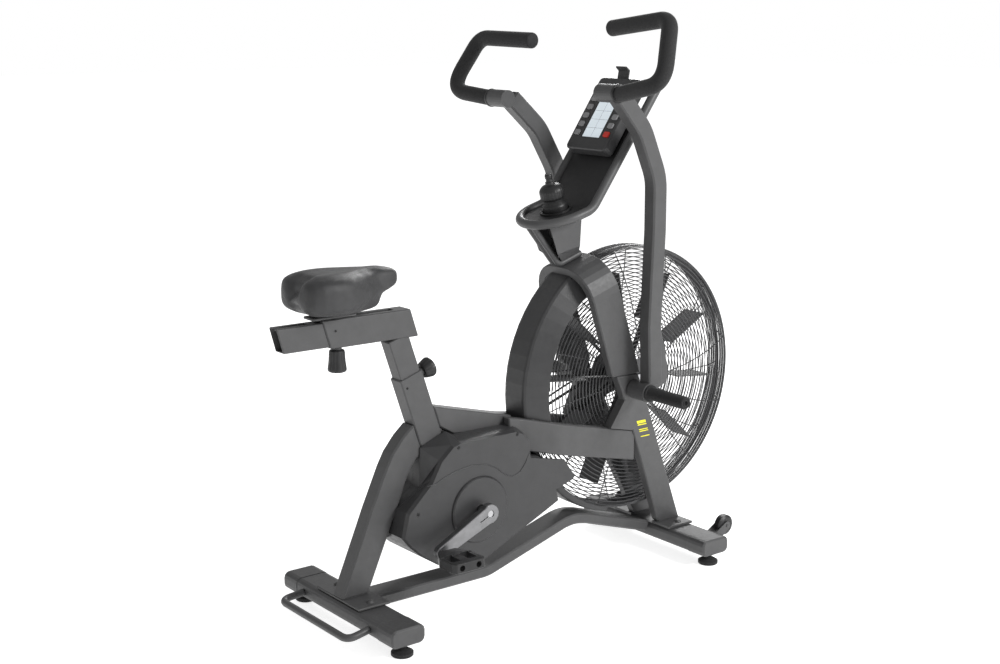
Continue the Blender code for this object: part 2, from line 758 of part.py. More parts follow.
def make_fan_rotor():
    """Hub with the small pulley and ten flat radial paddles on flat arms."""
    centre = (FAN[0], 0, FAN[1])
    bore = 0.0085
    rim = FAN_PULLEY
    profile = [(bore, -0.044), (0.022, -0.044), (0.022, -0.006), (0.046, -0.003), (0.046, 0.003),
               (0.022, 0.006),
               (0.022, 0.040), (rim + 0.003, 0.0425), (rim + 0.003, BELT_INNER - 0.0005),
               (rim, BELT_INNER - 0.0005),
               (rim, BELT_OUTER + 0.0005), (rim + 0.003, BELT_OUTER + 0.0005),
               (rim + 0.003, BELT_OUTER + 0.002),
               (bore, BELT_OUTER + 0.002)]
    body = turned_ring(profile, centre, steps=24)
    half_thick, arm_half = 0.0011, 0.0090
    for index in range(BLADE_COUNT):
        angle = FIRST_BLADE_DEG + 360 / BLADE_COUNT * index
        side_view = [(0.040, arm_half), (0.040, -arm_half), (BLADE_ROOT, -arm_half),
                     (BLADE_ROOT, -BLADE_HALF_WIDTH),
                     (BLADE_TIP, -BLADE_HALF_WIDTH), (BLADE_TIP, BLADE_HALF_WIDTH),
                     (BLADE_ROOT, BLADE_HALF_WIDTH),
                     (BLADE_ROOT, arm_half)]
        blade = loft([[(r, y, z) for r, y in side_view] for z in (-half_thick, half_thick)])
        blade.data.transform(Matrix.Rotation(math.radians(-angle), 4, "Y"))
        blade.data.transform(Matrix.Translation(centre))
        join(body, blade)
    place(body, "fan_rotor", "frame_paint", centre)


def make_fan_axle():
    """Fixed shaft between two plates that bolt to the inner faces of the front legs."""
    shaft = 0.0078
    inner, outer = 0.0672, 0.0722
    body = rod((FAN[0], -outer, FAN[1]), (FAN[0], outer, FAN[1]), shaft, 20)
    pad = (0.8010, 0.4640)
    leg_inner = HOOP_HALF - LEG_THICK - 0.0024
    for side in (-1, 1):
        low, high = sorted((side * inner, side * outer))
        outline = arc(FAN, 0.020, -90, 90, 6) + arc(pad, 0.017, 90, 270, 6)
        join(body, side_prism(outline, low, high))
        start = (pad[0], side * (inner + 0.001), pad[1])
        join(body, rod(start, (pad[0], side * leg_inner, pad[1]), 0.012, 16))
    place(body, "fan_axle", "steel")


SHROUD_START_DEG, SHROUD_RAIL_DEG, SHROUD_END_DEG = 118.0, 198.0, 255.0
SHROUD_RADIUS, SHROUD_HALF, SHROUD_WALL = 0.3570, 0.0360, 0.003


def shroud_section(degrees):
    """Channel section of (radius, y): deep flaring flanks above the side rails, a shallow band below."""
    share = max(0.0, (degrees - SHROUD_RAIL_DEG) / (SHROUD_END_DEG - SHROUD_RAIL_DEG))
    outer = SHROUD_RADIUS - 0.010 * share
    deep = degrees < SHROUD_RAIL_DEG
    root, flare = (outer - 0.056, 0.0660) if deep else (outer - 0.014, 0.0420)
    half, wall, turn = SHROUD_HALF, SHROUD_WALL, 0.006
    near = [(root, flare), (outer - turn, half + 0.004), (outer - 0.0015, half), (outer, half - turn)]
    far = [(root, flare - wall), (outer - turn - wall / 2, half + 0.004 - wall),
           (outer - wall, half - turn)]
    right = [(radius, -y) for radius, y in near[::-1]]
    return near + right + [(radius, -y) for radius, y in far] + far[::-1]


def make_fan_shroud():
    """Channel-shaped guard round the back of the fan, open towards it, notched for the frame."""
    above = [SHROUD_START_DEG + (SHROUD_RAIL_DEG - 0.5 - SHROUD_START_DEG) * index / 14
             for index in range(15)]
    below = [SHROUD_RAIL_DEG + 0.5 + (SHROUD_END_DEG - SHROUD_RAIL_DEG - 0.5) * index / 9
             for index in range(10)]
    rings = []
    for degrees in above + below:
        angle = math.radians(degrees)
        ring = []
        for radius, y in shroud_section(degrees):
            ring.append((FAN[0] + radius * math.cos(angle), y, FAN[1] + radius * math.sin(angle)))
        rings.append(ring)
    body = loft(rings)
    rail = side_rail(CUT_GAP)
    other = mirrored(rail)
    cut(body, rail, other, hoop_block(CUT_GAP))
    tip = [(TOP_TUBE_FRONT - 0.02, 0.3990), (TOP_TUBE_FRONT + CUT_GAP, 0.3990),
           (TOP_TUBE_FRONT + CUT_GAP, 0.4295),
           (TOP_TUBE_FRONT - 0.02, 0.4340)]
    cut(body, side_prism(tip, -0.0226, 0.0226))
    belt_way = [(0.470, 0.215), (0.640, 0.285), (0.640, 0.440), (0.480, 0.382)]
    cut(body, side_prism(belt_way, BELT_INNER - 0.006, BELT_OUTER + 0.0005))
    place(body, "fan_shroud", "cover_plastic")


# ---- crank case ----------------------------------------------------------------------------------


CASE_HALF = 0.0755
CASE_SKIN = 0.003
CASE_SHOULDER = 0.066  # half width at which the face's rounded edge starts
CASE_OUTLINE = [(0.2439, 0.3722), (0.2785, 0.4023), (0.3000, 0.4070), (0.4600, 0.4080), (0.4860, 0.3980),
                (0.5040, 0.3770), (0.5080, 0.3360), (0.6130, 0.3120), (0.6480, 0.2620), (0.6380, 0.2510),
                (0.5890, 0.2370), (0.5960, 0.2080), (0.5520, 0.1880), (0.4510, 0.1440), (0.3670, 0.1050),
                (0.3000, 0.1000), (0.2380, 0.1220), (0.1920, 0.1520), (0.1600, 0.1810), (0.1390, 0.2070),
                (0.1520, 0.2640), (0.2179, 0.3264)]
CASE_BASE = [(0.2198, 0.3959), (0.2906, 0.4245), (0.3120, 0.4133), (0.4850, 0.4128), (0.4970, 0.4010),
             (0.5070, 0.3770)] + CASE_OUTLINE[6:-1] + [(0.2162, 0.3032)]
DISC_RADIUS = 0.079
CASE_HOLES = ((0.293, 0.3950), (0.464, 0.3980), (0.179, 0.258))


def inset_outline(outline, distance):
    """Move each corner of an outline inwards, square to its two sides."""
    area = 0.0
    for here, after in zip(outline, outline[1:] + outline[:1]):
        area += here[0] * after[1] - after[0] * here[1]
    inward = 1 if area > 0 else -1
    made = []
    count = len(outline)
    for index in range(count):
        before, here, after = (Vector(outline[(index + step) % count]) for step in (-1, 0, 1))
        first, second = (here - before).normalized(), (after - here).normalized()
        first_normal = Vector((-first.y, first.x)) * inward
        second_normal = Vector((-second.y, second.x)) * inward
        middle = (first_normal + second_normal).normalized()
        made.append(tuple(here + middle * distance / max(middle.dot(first_normal), 0.5)))
    return made


def frame_keep_outs():
    """Slightly larger copies of the frame members that pass through the crank case."""
    half = 0.022 + CUT_GAP
    upright = inset_outline(upright_outline(), -CUT_GAP)
    sleeve = seat_block(-SLEEVE_LENGTH - CUT_GAP, 0.02, SLEEVE_DEPTH + 2 * CUT_GAP,
                        SLEEVE_WIDTH + 2 * CUT_GAP)
    top = [(0.270, 0.500), (0.500, 0.4300), (0.500, 0.3990), (0.318, 0.4110), (0.270, 0.418)]
    rail = side_rail(CUT_GAP)
    brace = inset_outline(BRACE, -CUT_GAP)
    corner = box((0.4800, -0.0490, 0.320), (0.520, 0.0490, 0.440))
    return [side_prism(upright, -half, half), sleeve, side_prism(top, -half, half), rail, mirrored(rail),
            corner,
            side_prism(brace, -BRACE_HALF - CUT_GAP, BRACE_HALF + CUT_GAP)]


def case_rings(side, skin):
    """Outlines of one half from the middle plane to its face, inset by a skin thickness."""
    rows = ((CASE_BASE, GAP - 0.01 if skin else GAP), (CASE_BASE, 0.0260), (CASE_OUTLINE, CASE_SHOULDER),
            (inset_outline(CASE_OUTLINE, 0.004), CASE_HALF))
    rings = []
    for outline, y in rows:
        if skin:
            outline = inset_outline(outline, skin)
            y = y - skin if y == CASE_HALF else y
        rings.append([(x, side * y, z) for x, z in outline])
    return rings


def case_shell(side):
    """One moulded half: side skin that slopes in to the frame along its top and rear edges."""
    block = loft(case_rings(side, 0.0))
    cut(block, loft(case_rings(side, CASE_SKIN)))
    clear = SHROUD_RADIUS + 0.0036
    reach = CASE_HALF - CASE_SKIN - 0.0005
    cut(block, turned([(clear, -reach), (clear, reach)], (FAN[0], 0, FAN[1]), steps=72))
    return block


def case_disc(side):
    """Raised round boss in front of the bottom bracket, with the axle's hole."""
    face, lip = CASE_HALF - 0.0015, CASE_HALF + 0.0060
    profile = [(DISC_RADIUS, face), (DISC_RADIUS, lip - 0.003), (DISC_RADIUS - 0.003, lip), (0.013, lip),
               (0.013, face)]
    return turned_ring([(r, side * y) for r, y in profile], (CRANK[0], 0, CRANK[1]), steps=36)


def make_crank_cases():
    for side, name in ((-1, "right"), (1, "left")):
        body = case_shell(side)
        cut(body, *frame_keep_outs())
        axle_hole = turned([(0.0128, -0.12), (0.0128, 0.12)], (CRANK[0], 0, CRANK[1]), steps=24)
        cut(body, axle_hole)
        if side > 0:
            cut(body, belt_tunnel())
        join(body, case_disc(side))
        for x, z in CASE_HOLES:
            cut(body, rod((x, side * 0.030, z), (x, side * (CASE_HALF + 0.002), z), 0.0042, 12))
        place(body, "crank_case_" + name, "cover_plastic")


# ---- seat ----------------------------------------------------------------------------------------


SLIDER_HALF, SLIDER_LOW, SLIDER_HIGH = 0.0180, 0.6606, 0.7162
CLAMP_LOW, CLAMP_HIGH = 0.7232, 0.7292
SLOT_HALF = 0.0100


def make_seat_post():
    """Post and the open outer rail on top of it, slotted along its top."""
    top = (RAIL_BOTTOM + 0.002 - SEAT_TOP[1]) / SEAT_LEAN[1]
    outline = [(-0.0070, RAIL_BOTTOM), (0.2230, RAIL_BOTTOM), (0.2020, RAIL_TOP), (-0.0270, RAIL_TOP)]
    body = soften(side_prism(outline, -0.022, 0.022), 0.0025)
    post = soften(seat_block(-POST_IN_SLEEVE, top, POST_DEPTH, POST_WIDTH), 0.0025)
    boss = rod((KNOB_STATION, 0, RAIL_BOTTOM + 0.001), (KNOB_STATION, 0, RAIL_BOTTOM - 0.007), 0.011, 16)
    join(body, post, boss)
    cavity = box((-0.10, -SLIDER_HALF - 0.0005, SLIDER_LOW - 0.0005),
                 (0.1960, SLIDER_HALF + 0.0005, SLIDER_HIGH + 0.0005))
    slot = box((-0.10, -SLOT_HALF, SLIDER_HIGH - 0.002), (0.165, SLOT_HALF, RAIL_TOP + 0.01))
    cut(body, cavity, slot)
    place(body, "seat_post", "frame_paint")


def make_seat_slider():
    """Inner rail with the saddle clamp plate on a stem through the slot."""
    outline = [(-0.1220, SLIDER_LOW), (0.1000, SLIDER_LOW), (0.1000, SLIDER_HIGH), (-0.1370, SLIDER_HIGH)]
    body = soften(side_prism(outline, -SLIDER_HALF, SLIDER_HALF), 0.002)
    wall = 0.003
    bore = box((-0.16, -SLIDER_HALF + wall, SLIDER_LOW + wall),
               (0.07, SLIDER_HALF - wall, SLIDER_HIGH - wall))
    slot = box((-0.16, -0.006, SLIDER_HIGH - 0.01), (-0.055, 0.006, SLIDER_HIGH + 0.01))
    cut(body, bore, slot)
    stem = box((-0.022, -0.008, SLIDER_HIGH - 0.002), (0.032, 0.008, CLAMP_LOW + 0.001))
    plate = soften(box((-0.050, -0.021, CLAMP_LOW), (0.060, 0.021, CLAMP_HIGH)), 0.0015)
    join(body, stem, plate)
    place(body, "seat_slider", "frame_paint")


SADDLE_ROWS = (
    # station, half width, underside, top
    (-0.0890, 0.036, 0.7590, 0.7990),
    (-0.0840, 0.060, 0.7460, 0.8140),
    (-0.0550, 0.084, 0.7340, 0.8260),
    (-0.0100, 0.088, 0.7310, 0.8285),
    (0.0350, 0.075, 0.7305, 0.8280),
    (0.0800, 0.051, 0.7310, 0.8270),
    (0.1150, 0.038, 0.7390, 0.8260),
    (0.1300, 0.034, 0.7620, 0.8250),
    (0.1550, 0.028, 0.7720, 0.8225),
    (0.1690, 0.020, 0.7800, 0.8175),
    (0.1740, 0.012, 0.7870, 0.8100),
)
SADDLE_ROUNDNESS = 0.6  # 1 is an ellipse in cross-section, 0 a rectangle


def make_saddle():
    """Plain solid of the padded saddle's outer shape."""
    steps = 16
    rings = []
    for station, half, low, high in SADDLE_ROWS:
        middle, rise = (low + high) / 2, (high - low) / 2
        ring = []
        for index in range(steps):
            angle = math.tau * (index + 0.5) / steps
            side, up = math.cos(angle), math.sin(angle)
            y = half * math.copysign(abs(side) ** SADDLE_ROUNDNESS, side)
            z = middle + rise * math.copysign(abs(up) ** SADDLE_ROUNDNESS, up)
            ring.append((station, y, z))
        rings.append(ring)
    place(loft(rings), "saddle", "saddle_cover")


def knob_profile():
    """Domed cap with a waisted side, from its underside outwards."""
    return [(0.0175, 0.0), (0.0225, 0.003), (0.0240, 0.010), (0.0235, 0.024), (0.0190, 0.0290),
            (0.0090, 0.0305)]


def make_knobs():
    boss_at = -0.014
    start = along_seat(boss_at, SLEEVE_DEPTH / 2 + 0.009 + GAP)
    outward = (SEAT_LEAN[1], 0, -SEAT_LEAN[0])
    centre = (start[0], 0, start[1])
    place(turned(knob_profile(), centre, outward, 28), "height_knob", "black_plastic", centre)
    under = (KNOB_STATION, 0, RAIL_BOTTOM - 0.007 - GAP)
    profile = [(0.0110, 0.0), (0.0175, 0.004), (0.0185, 0.020), (0.0215, 0.042), (0.0205, 0.049),
               (0.0130, 0.0515)]
    place(turned(profile, under, (0, 0, -1), 28), "slide_knob", "black_plastic", under)


# ---- arms, grips and pegs ------------------------------------------------------------------------


ARM_PATH = [(0.8245, 0.4780), (0.8180, 0.6300), (0.8270, 0.8600), (0.8265, 0.9850), (0.7765, 1.1000),
            (0.7000, 1.1880)]
ARM_DEPTH = 0.043
SLEEVE_AXIS = (0.673, 1.190)  # handle sleeve and lower grip bar of the right arm
RIGHT_GRIP = [(0.6646, -0.3373, 1.2186), (0.7341, -0.2821, 1.3582), (0.7369, -0.0776, 1.3346)]
LEFT_GRIP = [(0.6627, -0.3366, 1.2046), (0.7317, -0.2802, 1.3257), (0.7357, -0.0768, 1.3207)]
GRIP_RADIUS, GRIP_SLEEVE = 0.0190, 0.0210
LEFT_ARM_TURN = -7.1


def arm_body():
    """Right arm: bent rectangular tube between the pivot boss and the handle sleeve."""
    outline = ribbon(filleted(ARM_PATH, 0.13, 5), ARM_DEPTH)
    body = soften(side_prism(outline, -ARM_OUTER, -ARM_INNER), 0.004)
    boss = turned([(0.0235, -ARM_OUTER), (0.0235, -0.1095)], (PIVOT[0], 0, PIVOT[1]), steps=28)
    sleeve = turned([(GRIP_SLEEVE, -0.176), (GRIP_SLEEVE, -0.116)], (SLEEVE_AXIS[0], 0, SLEEVE_AXIS[1]),
                    steps=24)
    foot = [(0.8010, 0.4560), (0.8600, 0.4840), (0.8650, 0.5060), (0.8590, 0.5400), (0.8400, 0.6150),
            (0.8050, 0.6150)]
    join(body, soften(side_prism(foot, -ARM_OUTER + 0.0004, -ARM_INNER - 0.0004), 0.003), boss, sleeve)
    clear = PIVOT_ROD + 0.0005
    return cut(body, turned([(clear, -0.2), (clear, -0.1)], (PIVOT[0], 0, PIVOT[1]), steps=24))


def grip_body(corners):
    """Grip of the right side: one foam-covered bar that leaves the sleeve, turns back and ends inboard."""
    start = -0.176 - GAP
    bend = filleted([(SLEEVE_AXIS[0], start - 0.014, SLEEVE_AXIS[1])] + corners, 0.045, 6)
    return tube([(SLEEVE_AXIS[0], start, SLEEVE_AXIS[1])] + bend, GRIP_RADIUS, 12)


def make_arms():
    """Arms and grips; the left arm is built as a right one, mirrored and turned back."""
    for side, name, corners in ((-1, "right", RIGHT_GRIP), (1, "left", LEFT_GRIP)):
        for item, label, slot in ((arm_body(), "handle_arm", "frame_paint"),
                                  (grip_body(corners), "foam_grip", "rubber")):
            here = item
            if side > 0:
                here = turned_about(mirrored(item), PIVOT, LEFT_ARM_TURN)
                bpy.data.objects.remove(item, do_unlink=True)
            place(here, label + "_" + name, slot, (PIVOT[0], side * 0.147, PIVOT[1]))


def make_foot_pegs():
    """Rod through each arm's boss, with a collar inside it and the foam peg outside it."""
    profile = [(0.0165, -0.1055), (0.0165, -0.1090), (PIVOT_ROD, -0.1090), (PIVOT_ROD, -0.1668),
               (0.0205, -0.1668),
               (0.0205, -0.1720), (0.0160, -0.1720), (0.0160, -0.2880), (0.0125, -0.2920)]
    body = turned(profile, (PIVOT[0], 0, PIVOT[1]), steps=20)
    place_pair(body, "foot_peg", "rubber")


# ---- console -------------------------------------------------------------------------------------


RING_CENTRE = (0.6400, 0.9045)  # middle of the tube's ring round the bottle cup, in side view
RING_TILT_DEG = 16.0
LOOP_CORNER, LOOP_HIGH = (0.6786, 0.9156), (0.8850, 1.2000)
STRUT_ROD = 0.0077


def on_ring(forward, across, up):
    """Point relative to the ring's centre, in the ring's tilted plane."""
    tilt = math.radians(RING_TILT_DEG)
    x = RING_CENTRE[0] + forward * math.cos(tilt) - up * math.sin(tilt)
    z = RING_CENTRE[1] + forward * math.sin(tilt) + up * math.cos(tilt)
    return (x, across, z)


def ring_turned(profile, steps, shape=turned):
    """Round body on the ring's axis, from (radius, height above the ring's plane) points."""
    tilt = math.radians(RING_TILT_DEG)
    return shape(profile, on_ring(0, 0, 0), (-math.sin(tilt), 0, math.cos(tilt)), steps)


def make_console_loop():
    """Bent round tube: up both sides of the console and round the bottle cup, with a twin-rod strut."""
    turn = [on_ring(forward, y, 0) for forward, y in arc((0, 0), LOOP_HALF, 90, 180, 6)]
    bend = filleted([(LOOP_HIGH[0], LOOP_HALF, LOOP_HIGH[1]), (LOOP_CORNER[0], LOOP_HALF, LOOP_CORNER[1]),
                     turn[0]],
                    0.07, 4)
    half = bend[:-1] + turn
    body = tube(half + [(x, -y, z) for x, y, z in half[-2::-1]], LOOP_TUBE, 10)
    line = filleted([(0.5562, 0.8824), (0.6420, 0.7770), (0.7086, 0.7991)], 0.02, 4)
    web = side_prism(ribbon(line[1:], 0.0050), -0.0090, 0.0090)
    rods = [tube([(x, y, z) for x, z in line], STRUT_ROD, 12) for y in (-0.0095, 0.0095)]
    return place(join(body, *rods, web), "console_loop", "frame_paint")


TRAY_HALF = LOOP_HALF - LOOP_TUBE - 0.0005
CUP_HOLE = 0.0355


def make_console_tray():
    """Bent black plate between the loop's sides, with the cup's hole in its lower part."""
    rear_x, _, rear_z = on_ring(-0.0740, 0, 0)
    path = filleted([(0.8206, 1.1208), (0.6798, 0.9159), (rear_x, rear_z)], 0.012, 3)
    body = side_prism(ribbon(path, 0.003), -TRAY_HALF, TRAY_HALF)
    corner = LOOP_HALF - LOOP_TUBE - 0.0008
    behind = [on_ring(forward, 0, up) for forward, up in ((-0.14, -0.02), (0, -0.02), (0, 0.02),
                                                          (-0.14, 0.02))]
    trim = cut(side_prism([(x, z) for x, _, z in behind], -0.2, 0.2),
               ring_turned([(corner, -0.1), (corner, 0.1)], 48))
    place(cut(body, trim, ring_turned([(CUP_HOLE, -0.1), (CUP_HOLE, 0.1)], 32)), "console_tray",
          "black_plastic")


MAST_WALL = 0.003
MAST_ROWS = (
    # rear edge and front edge in side view, half width
    ((0.6440, 0.7862), (0.6960, 0.8034), 0.0195),
    ((0.6173, 0.8080), (0.6850, 0.8220), 0.0370),
    ((0.5850, 0.8865), (0.6885, 0.9162), 0.0395),
)


def make_cup_mast():
    """Channel that widens upwards from the hoop to the tray, open behind the cup."""
    rings = []
    for (rear, low), (front, high), half in MAST_ROWS:
        inner, near = half - MAST_WALL, front - MAST_WALL
        near_z = high - MAST_WALL * (high - low) / (front - rear)
        right = [(rear, -inner, low), (near, -inner, near_z), (near, inner, near_z), (rear, inner, low)]
        rings.append([(rear, half, low), (front, half, high), (front, -half, high),
                      (rear, -half, low)] + right)
    place(loft(rings), "cup_mast", "frame_paint")


CUP_TOP, CUP_BOTTOM = 0.0060, -0.0600  # heights above the ring's plane


def make_bottle_cup():
    """Tapered cup that hangs in the tray's hole by its rim."""
    wall = 0.002
    rim_low = 0.0018
    profile = [(0.0262, CUP_BOTTOM), (0.0345, rim_low), (0.0385, rim_low), (0.0385, CUP_TOP),
               (0.0335, CUP_TOP),
               (0.0345 - wall, rim_low), (0.0262 - wall, CUP_BOTTOM + 0.003), (0.002, CUP_BOTTOM + 0.003),
               (0.002, CUP_BOTTOM)]
    place(ring_turned(profile, 24, turned_ring), "bottle_cup", "black_plastic")


def make_bottle():
    """Squeeze bottle that stands in the cup."""
    foot = CUP_BOTTOM + 0.0040
    profile = [(0.0205, foot), (0.0232, foot + 0.003), (0.0300, 0.0040), (0.0305, 0.0180), (0.0262, 0.0230),
               (0.0262, 0.0330), (0.0300, 0.0370), (0.0300, 0.0560), (0.0220, 0.0660), (0.0110, 0.0700),
               (0.0110, 0.0760), (0.0085, 0.0780), (0.0085, 0.0900), (0.0065, 0.0960)]
    place(ring_turned(profile, 20), "bottle", "black_plastic", on_ring(0, 0, foot))


CONSOLE_FOOT = (0.7260, 1.0490)  # lower edge of the console's face in side view
CONSOLE_LENGTH, CONSOLE_HALF, CONSOLE_THICK = 0.202, 0.0725, 0.030
CONSOLE_SLOPE_DEG = 55.5
SCREEN_HALF, SCREEN_LOW, SCREEN_HIGH = 0.0310, 0.0340, 0.1740
SCREEN_THICK = 0.0015
BUTTON_ROWS, BUTTON_PITCH, FIRST_BUTTON = 5, 0.0240, 0.0440
BUTTON_Y = 0.0530
BUTTON_HALF_WIDTH, BUTTON_HALF_LENGTH, BUTTON_RISE = 0.0090, 0.0070, 0.0030
POCKET_DEPTH = 0.0025


def on_console(along, across, out):
    """Point on the console: up its slope, to the rider's left, and out of its face."""
    slope = math.radians(CONSOLE_SLOPE_DEG)
    x = CONSOLE_FOOT[0] + along * math.cos(slope) - out * math.sin(slope)
    z = CONSOLE_FOOT[1] + along * math.sin(slope) + out * math.cos(slope)
    return (x, across, z)


def console_block(along, across, out, corner=0.0, steps=2):
    """Block with round corners in the plane of the console's face."""
    if corner:
        outline = rounded_box_outline((along[0], across[0]), (along[1], across[1]), corner, steps)
    else:
        outline = [(along[0], across[0]), (along[1], across[0]), (along[1], across[1]),
                   (along[0], across[1])]
    return loft([[on_console(a, y, level) for a, y in outline] for level in out])


def make_console():
    body = console_block((0, CONSOLE_LENGTH), (-CONSOLE_HALF, CONSOLE_HALF), (-CONSOLE_THICK, 0.0), 0.012,
                         4)
    soften(body, 0.0025)
    clip_start = CONSOLE_LENGTH - 0.003
    clip = [on_console(clip_start, 0, -0.012), on_console(clip_start, 0, -0.009),
            on_console(clip_start + 0.022, 0, 0.001), on_console(clip_start + 0.024, 0, 0.014),
            on_console(clip_start + 0.027, 0, 0.014), on_console(clip_start + 0.026, 0, -0.001)]
    join(body, side_prism([(x, z) for x, _, z in clip], -0.019, 0.019))
    cut(body, console_block((SCREEN_LOW, SCREEN_HIGH), (-SCREEN_HALF, SCREEN_HALF), (-SCREEN_THICK, 0.01)))
    for row in range(BUTTON_ROWS):
        middle = FIRST_BUTTON + row * BUTTON_PITCH
        for side in (-1, 1):
            reach = BUTTON_HALF_WIDTH + 0.0005
            span = BUTTON_HALF_LENGTH + 0.0005
            across = (side * BUTTON_Y - reach, side * BUTTON_Y + reach)
            cut(body, console_block((middle - span, middle + span), across, (-POCKET_DEPTH, 0.01)))
    back = console_block((0.020, 0.100), (-0.030, 0.030), (-CONSOLE_THICK - 0.0052, -CONSOLE_THICK + 0.001))
    place(join(body, back), "console_body", "cover_plastic")
    inset = 0.0004
    screen = console_block((SCREEN_LOW + inset, SCREEN_HIGH - inset),
                           (-SCREEN_HALF + inset, SCREEN_HALF - inset),
                           (-SCREEN_THICK + GAP, -0.0002))
    place(screen, "console_screen", "screen_glass")


def make_buttons():
    for row in range(BUTTON_ROWS):
        middle = FIRST_BUTTON + row * BUTTON_PITCH
        for side, name in ((-1, "right"), (1, "left")):
            along = (middle - BUTTON_HALF_LENGTH, middle + BUTTON_HALF_LENGTH)
            across = (side * BUTTON_Y - BUTTON_HALF_WIDTH, side * BUTTON_Y + BUTTON_HALF_WIDTH)
            body = console_block(along, across, (-POCKET_DEPTH + 0.0018, BUTTON_RISE), 0.003, 2)
            slot = "red_button" if row == 0 and side < 0 else "button_plastic"
            place(body, f"button_{name}_{row + 1}", slot, on_console(middle, side * BUTTON_Y, 0))


# ---- build ---------------------------------------------------------------------------------------


def build():
    clear_scene()
    make_stabilisers()
    make_wheels()
    make_feet()
    make_carry_handle()
    make_base_tube()
    make_rear_upright()
    make_seat_sleeve()
    make_top_tube()
    make_side_rails()
    make_front_legs()
    make_fan_hoop()
    make_bottom_bracket()
    make_crank_axle()
    make_drive_belt()
    make_cranks()
    make_pedals()
    make_fan_cages()
    make_fan_rotor()
    make_fan_axle()
    make_fan_shroud()
    make_crank_cases()
    make_seat_post()
    make_seat_slider()
    make_saddle()
    make_knobs()
    make_arms()
    make_foot_pegs()
    make_console_loop()
    make_console_tray()
    make_cup_mast()
    make_bottle_cup()
    make_bottle()
    make_console()
    make_buttons()


build()
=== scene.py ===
"""Look of the air bike: finishes, wire guards, padded saddle, fittings, lights and camera.

Units are metres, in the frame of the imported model: X forward, Y to the rider's left, Z up.
"""

import math

import bmesh
import bpy
from mathutils import Matrix, Vector


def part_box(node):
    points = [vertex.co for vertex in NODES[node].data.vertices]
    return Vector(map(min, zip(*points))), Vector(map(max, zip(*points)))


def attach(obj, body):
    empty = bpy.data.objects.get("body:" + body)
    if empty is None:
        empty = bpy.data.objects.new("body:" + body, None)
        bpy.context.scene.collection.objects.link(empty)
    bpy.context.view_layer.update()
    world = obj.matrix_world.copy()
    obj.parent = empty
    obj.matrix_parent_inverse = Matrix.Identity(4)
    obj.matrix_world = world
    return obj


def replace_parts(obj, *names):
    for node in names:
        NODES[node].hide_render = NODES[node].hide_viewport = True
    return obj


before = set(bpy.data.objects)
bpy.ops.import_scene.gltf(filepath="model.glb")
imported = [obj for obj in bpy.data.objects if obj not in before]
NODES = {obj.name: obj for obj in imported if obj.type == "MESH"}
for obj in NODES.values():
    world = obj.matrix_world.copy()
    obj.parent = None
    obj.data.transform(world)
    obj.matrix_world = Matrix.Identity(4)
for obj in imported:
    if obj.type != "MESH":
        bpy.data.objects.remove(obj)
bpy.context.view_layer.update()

MIDDLE_STATION = 0.53426  # distance from the rear face of the bike to the origin


# ---- finishes ------------------------------------------------------------------------------------


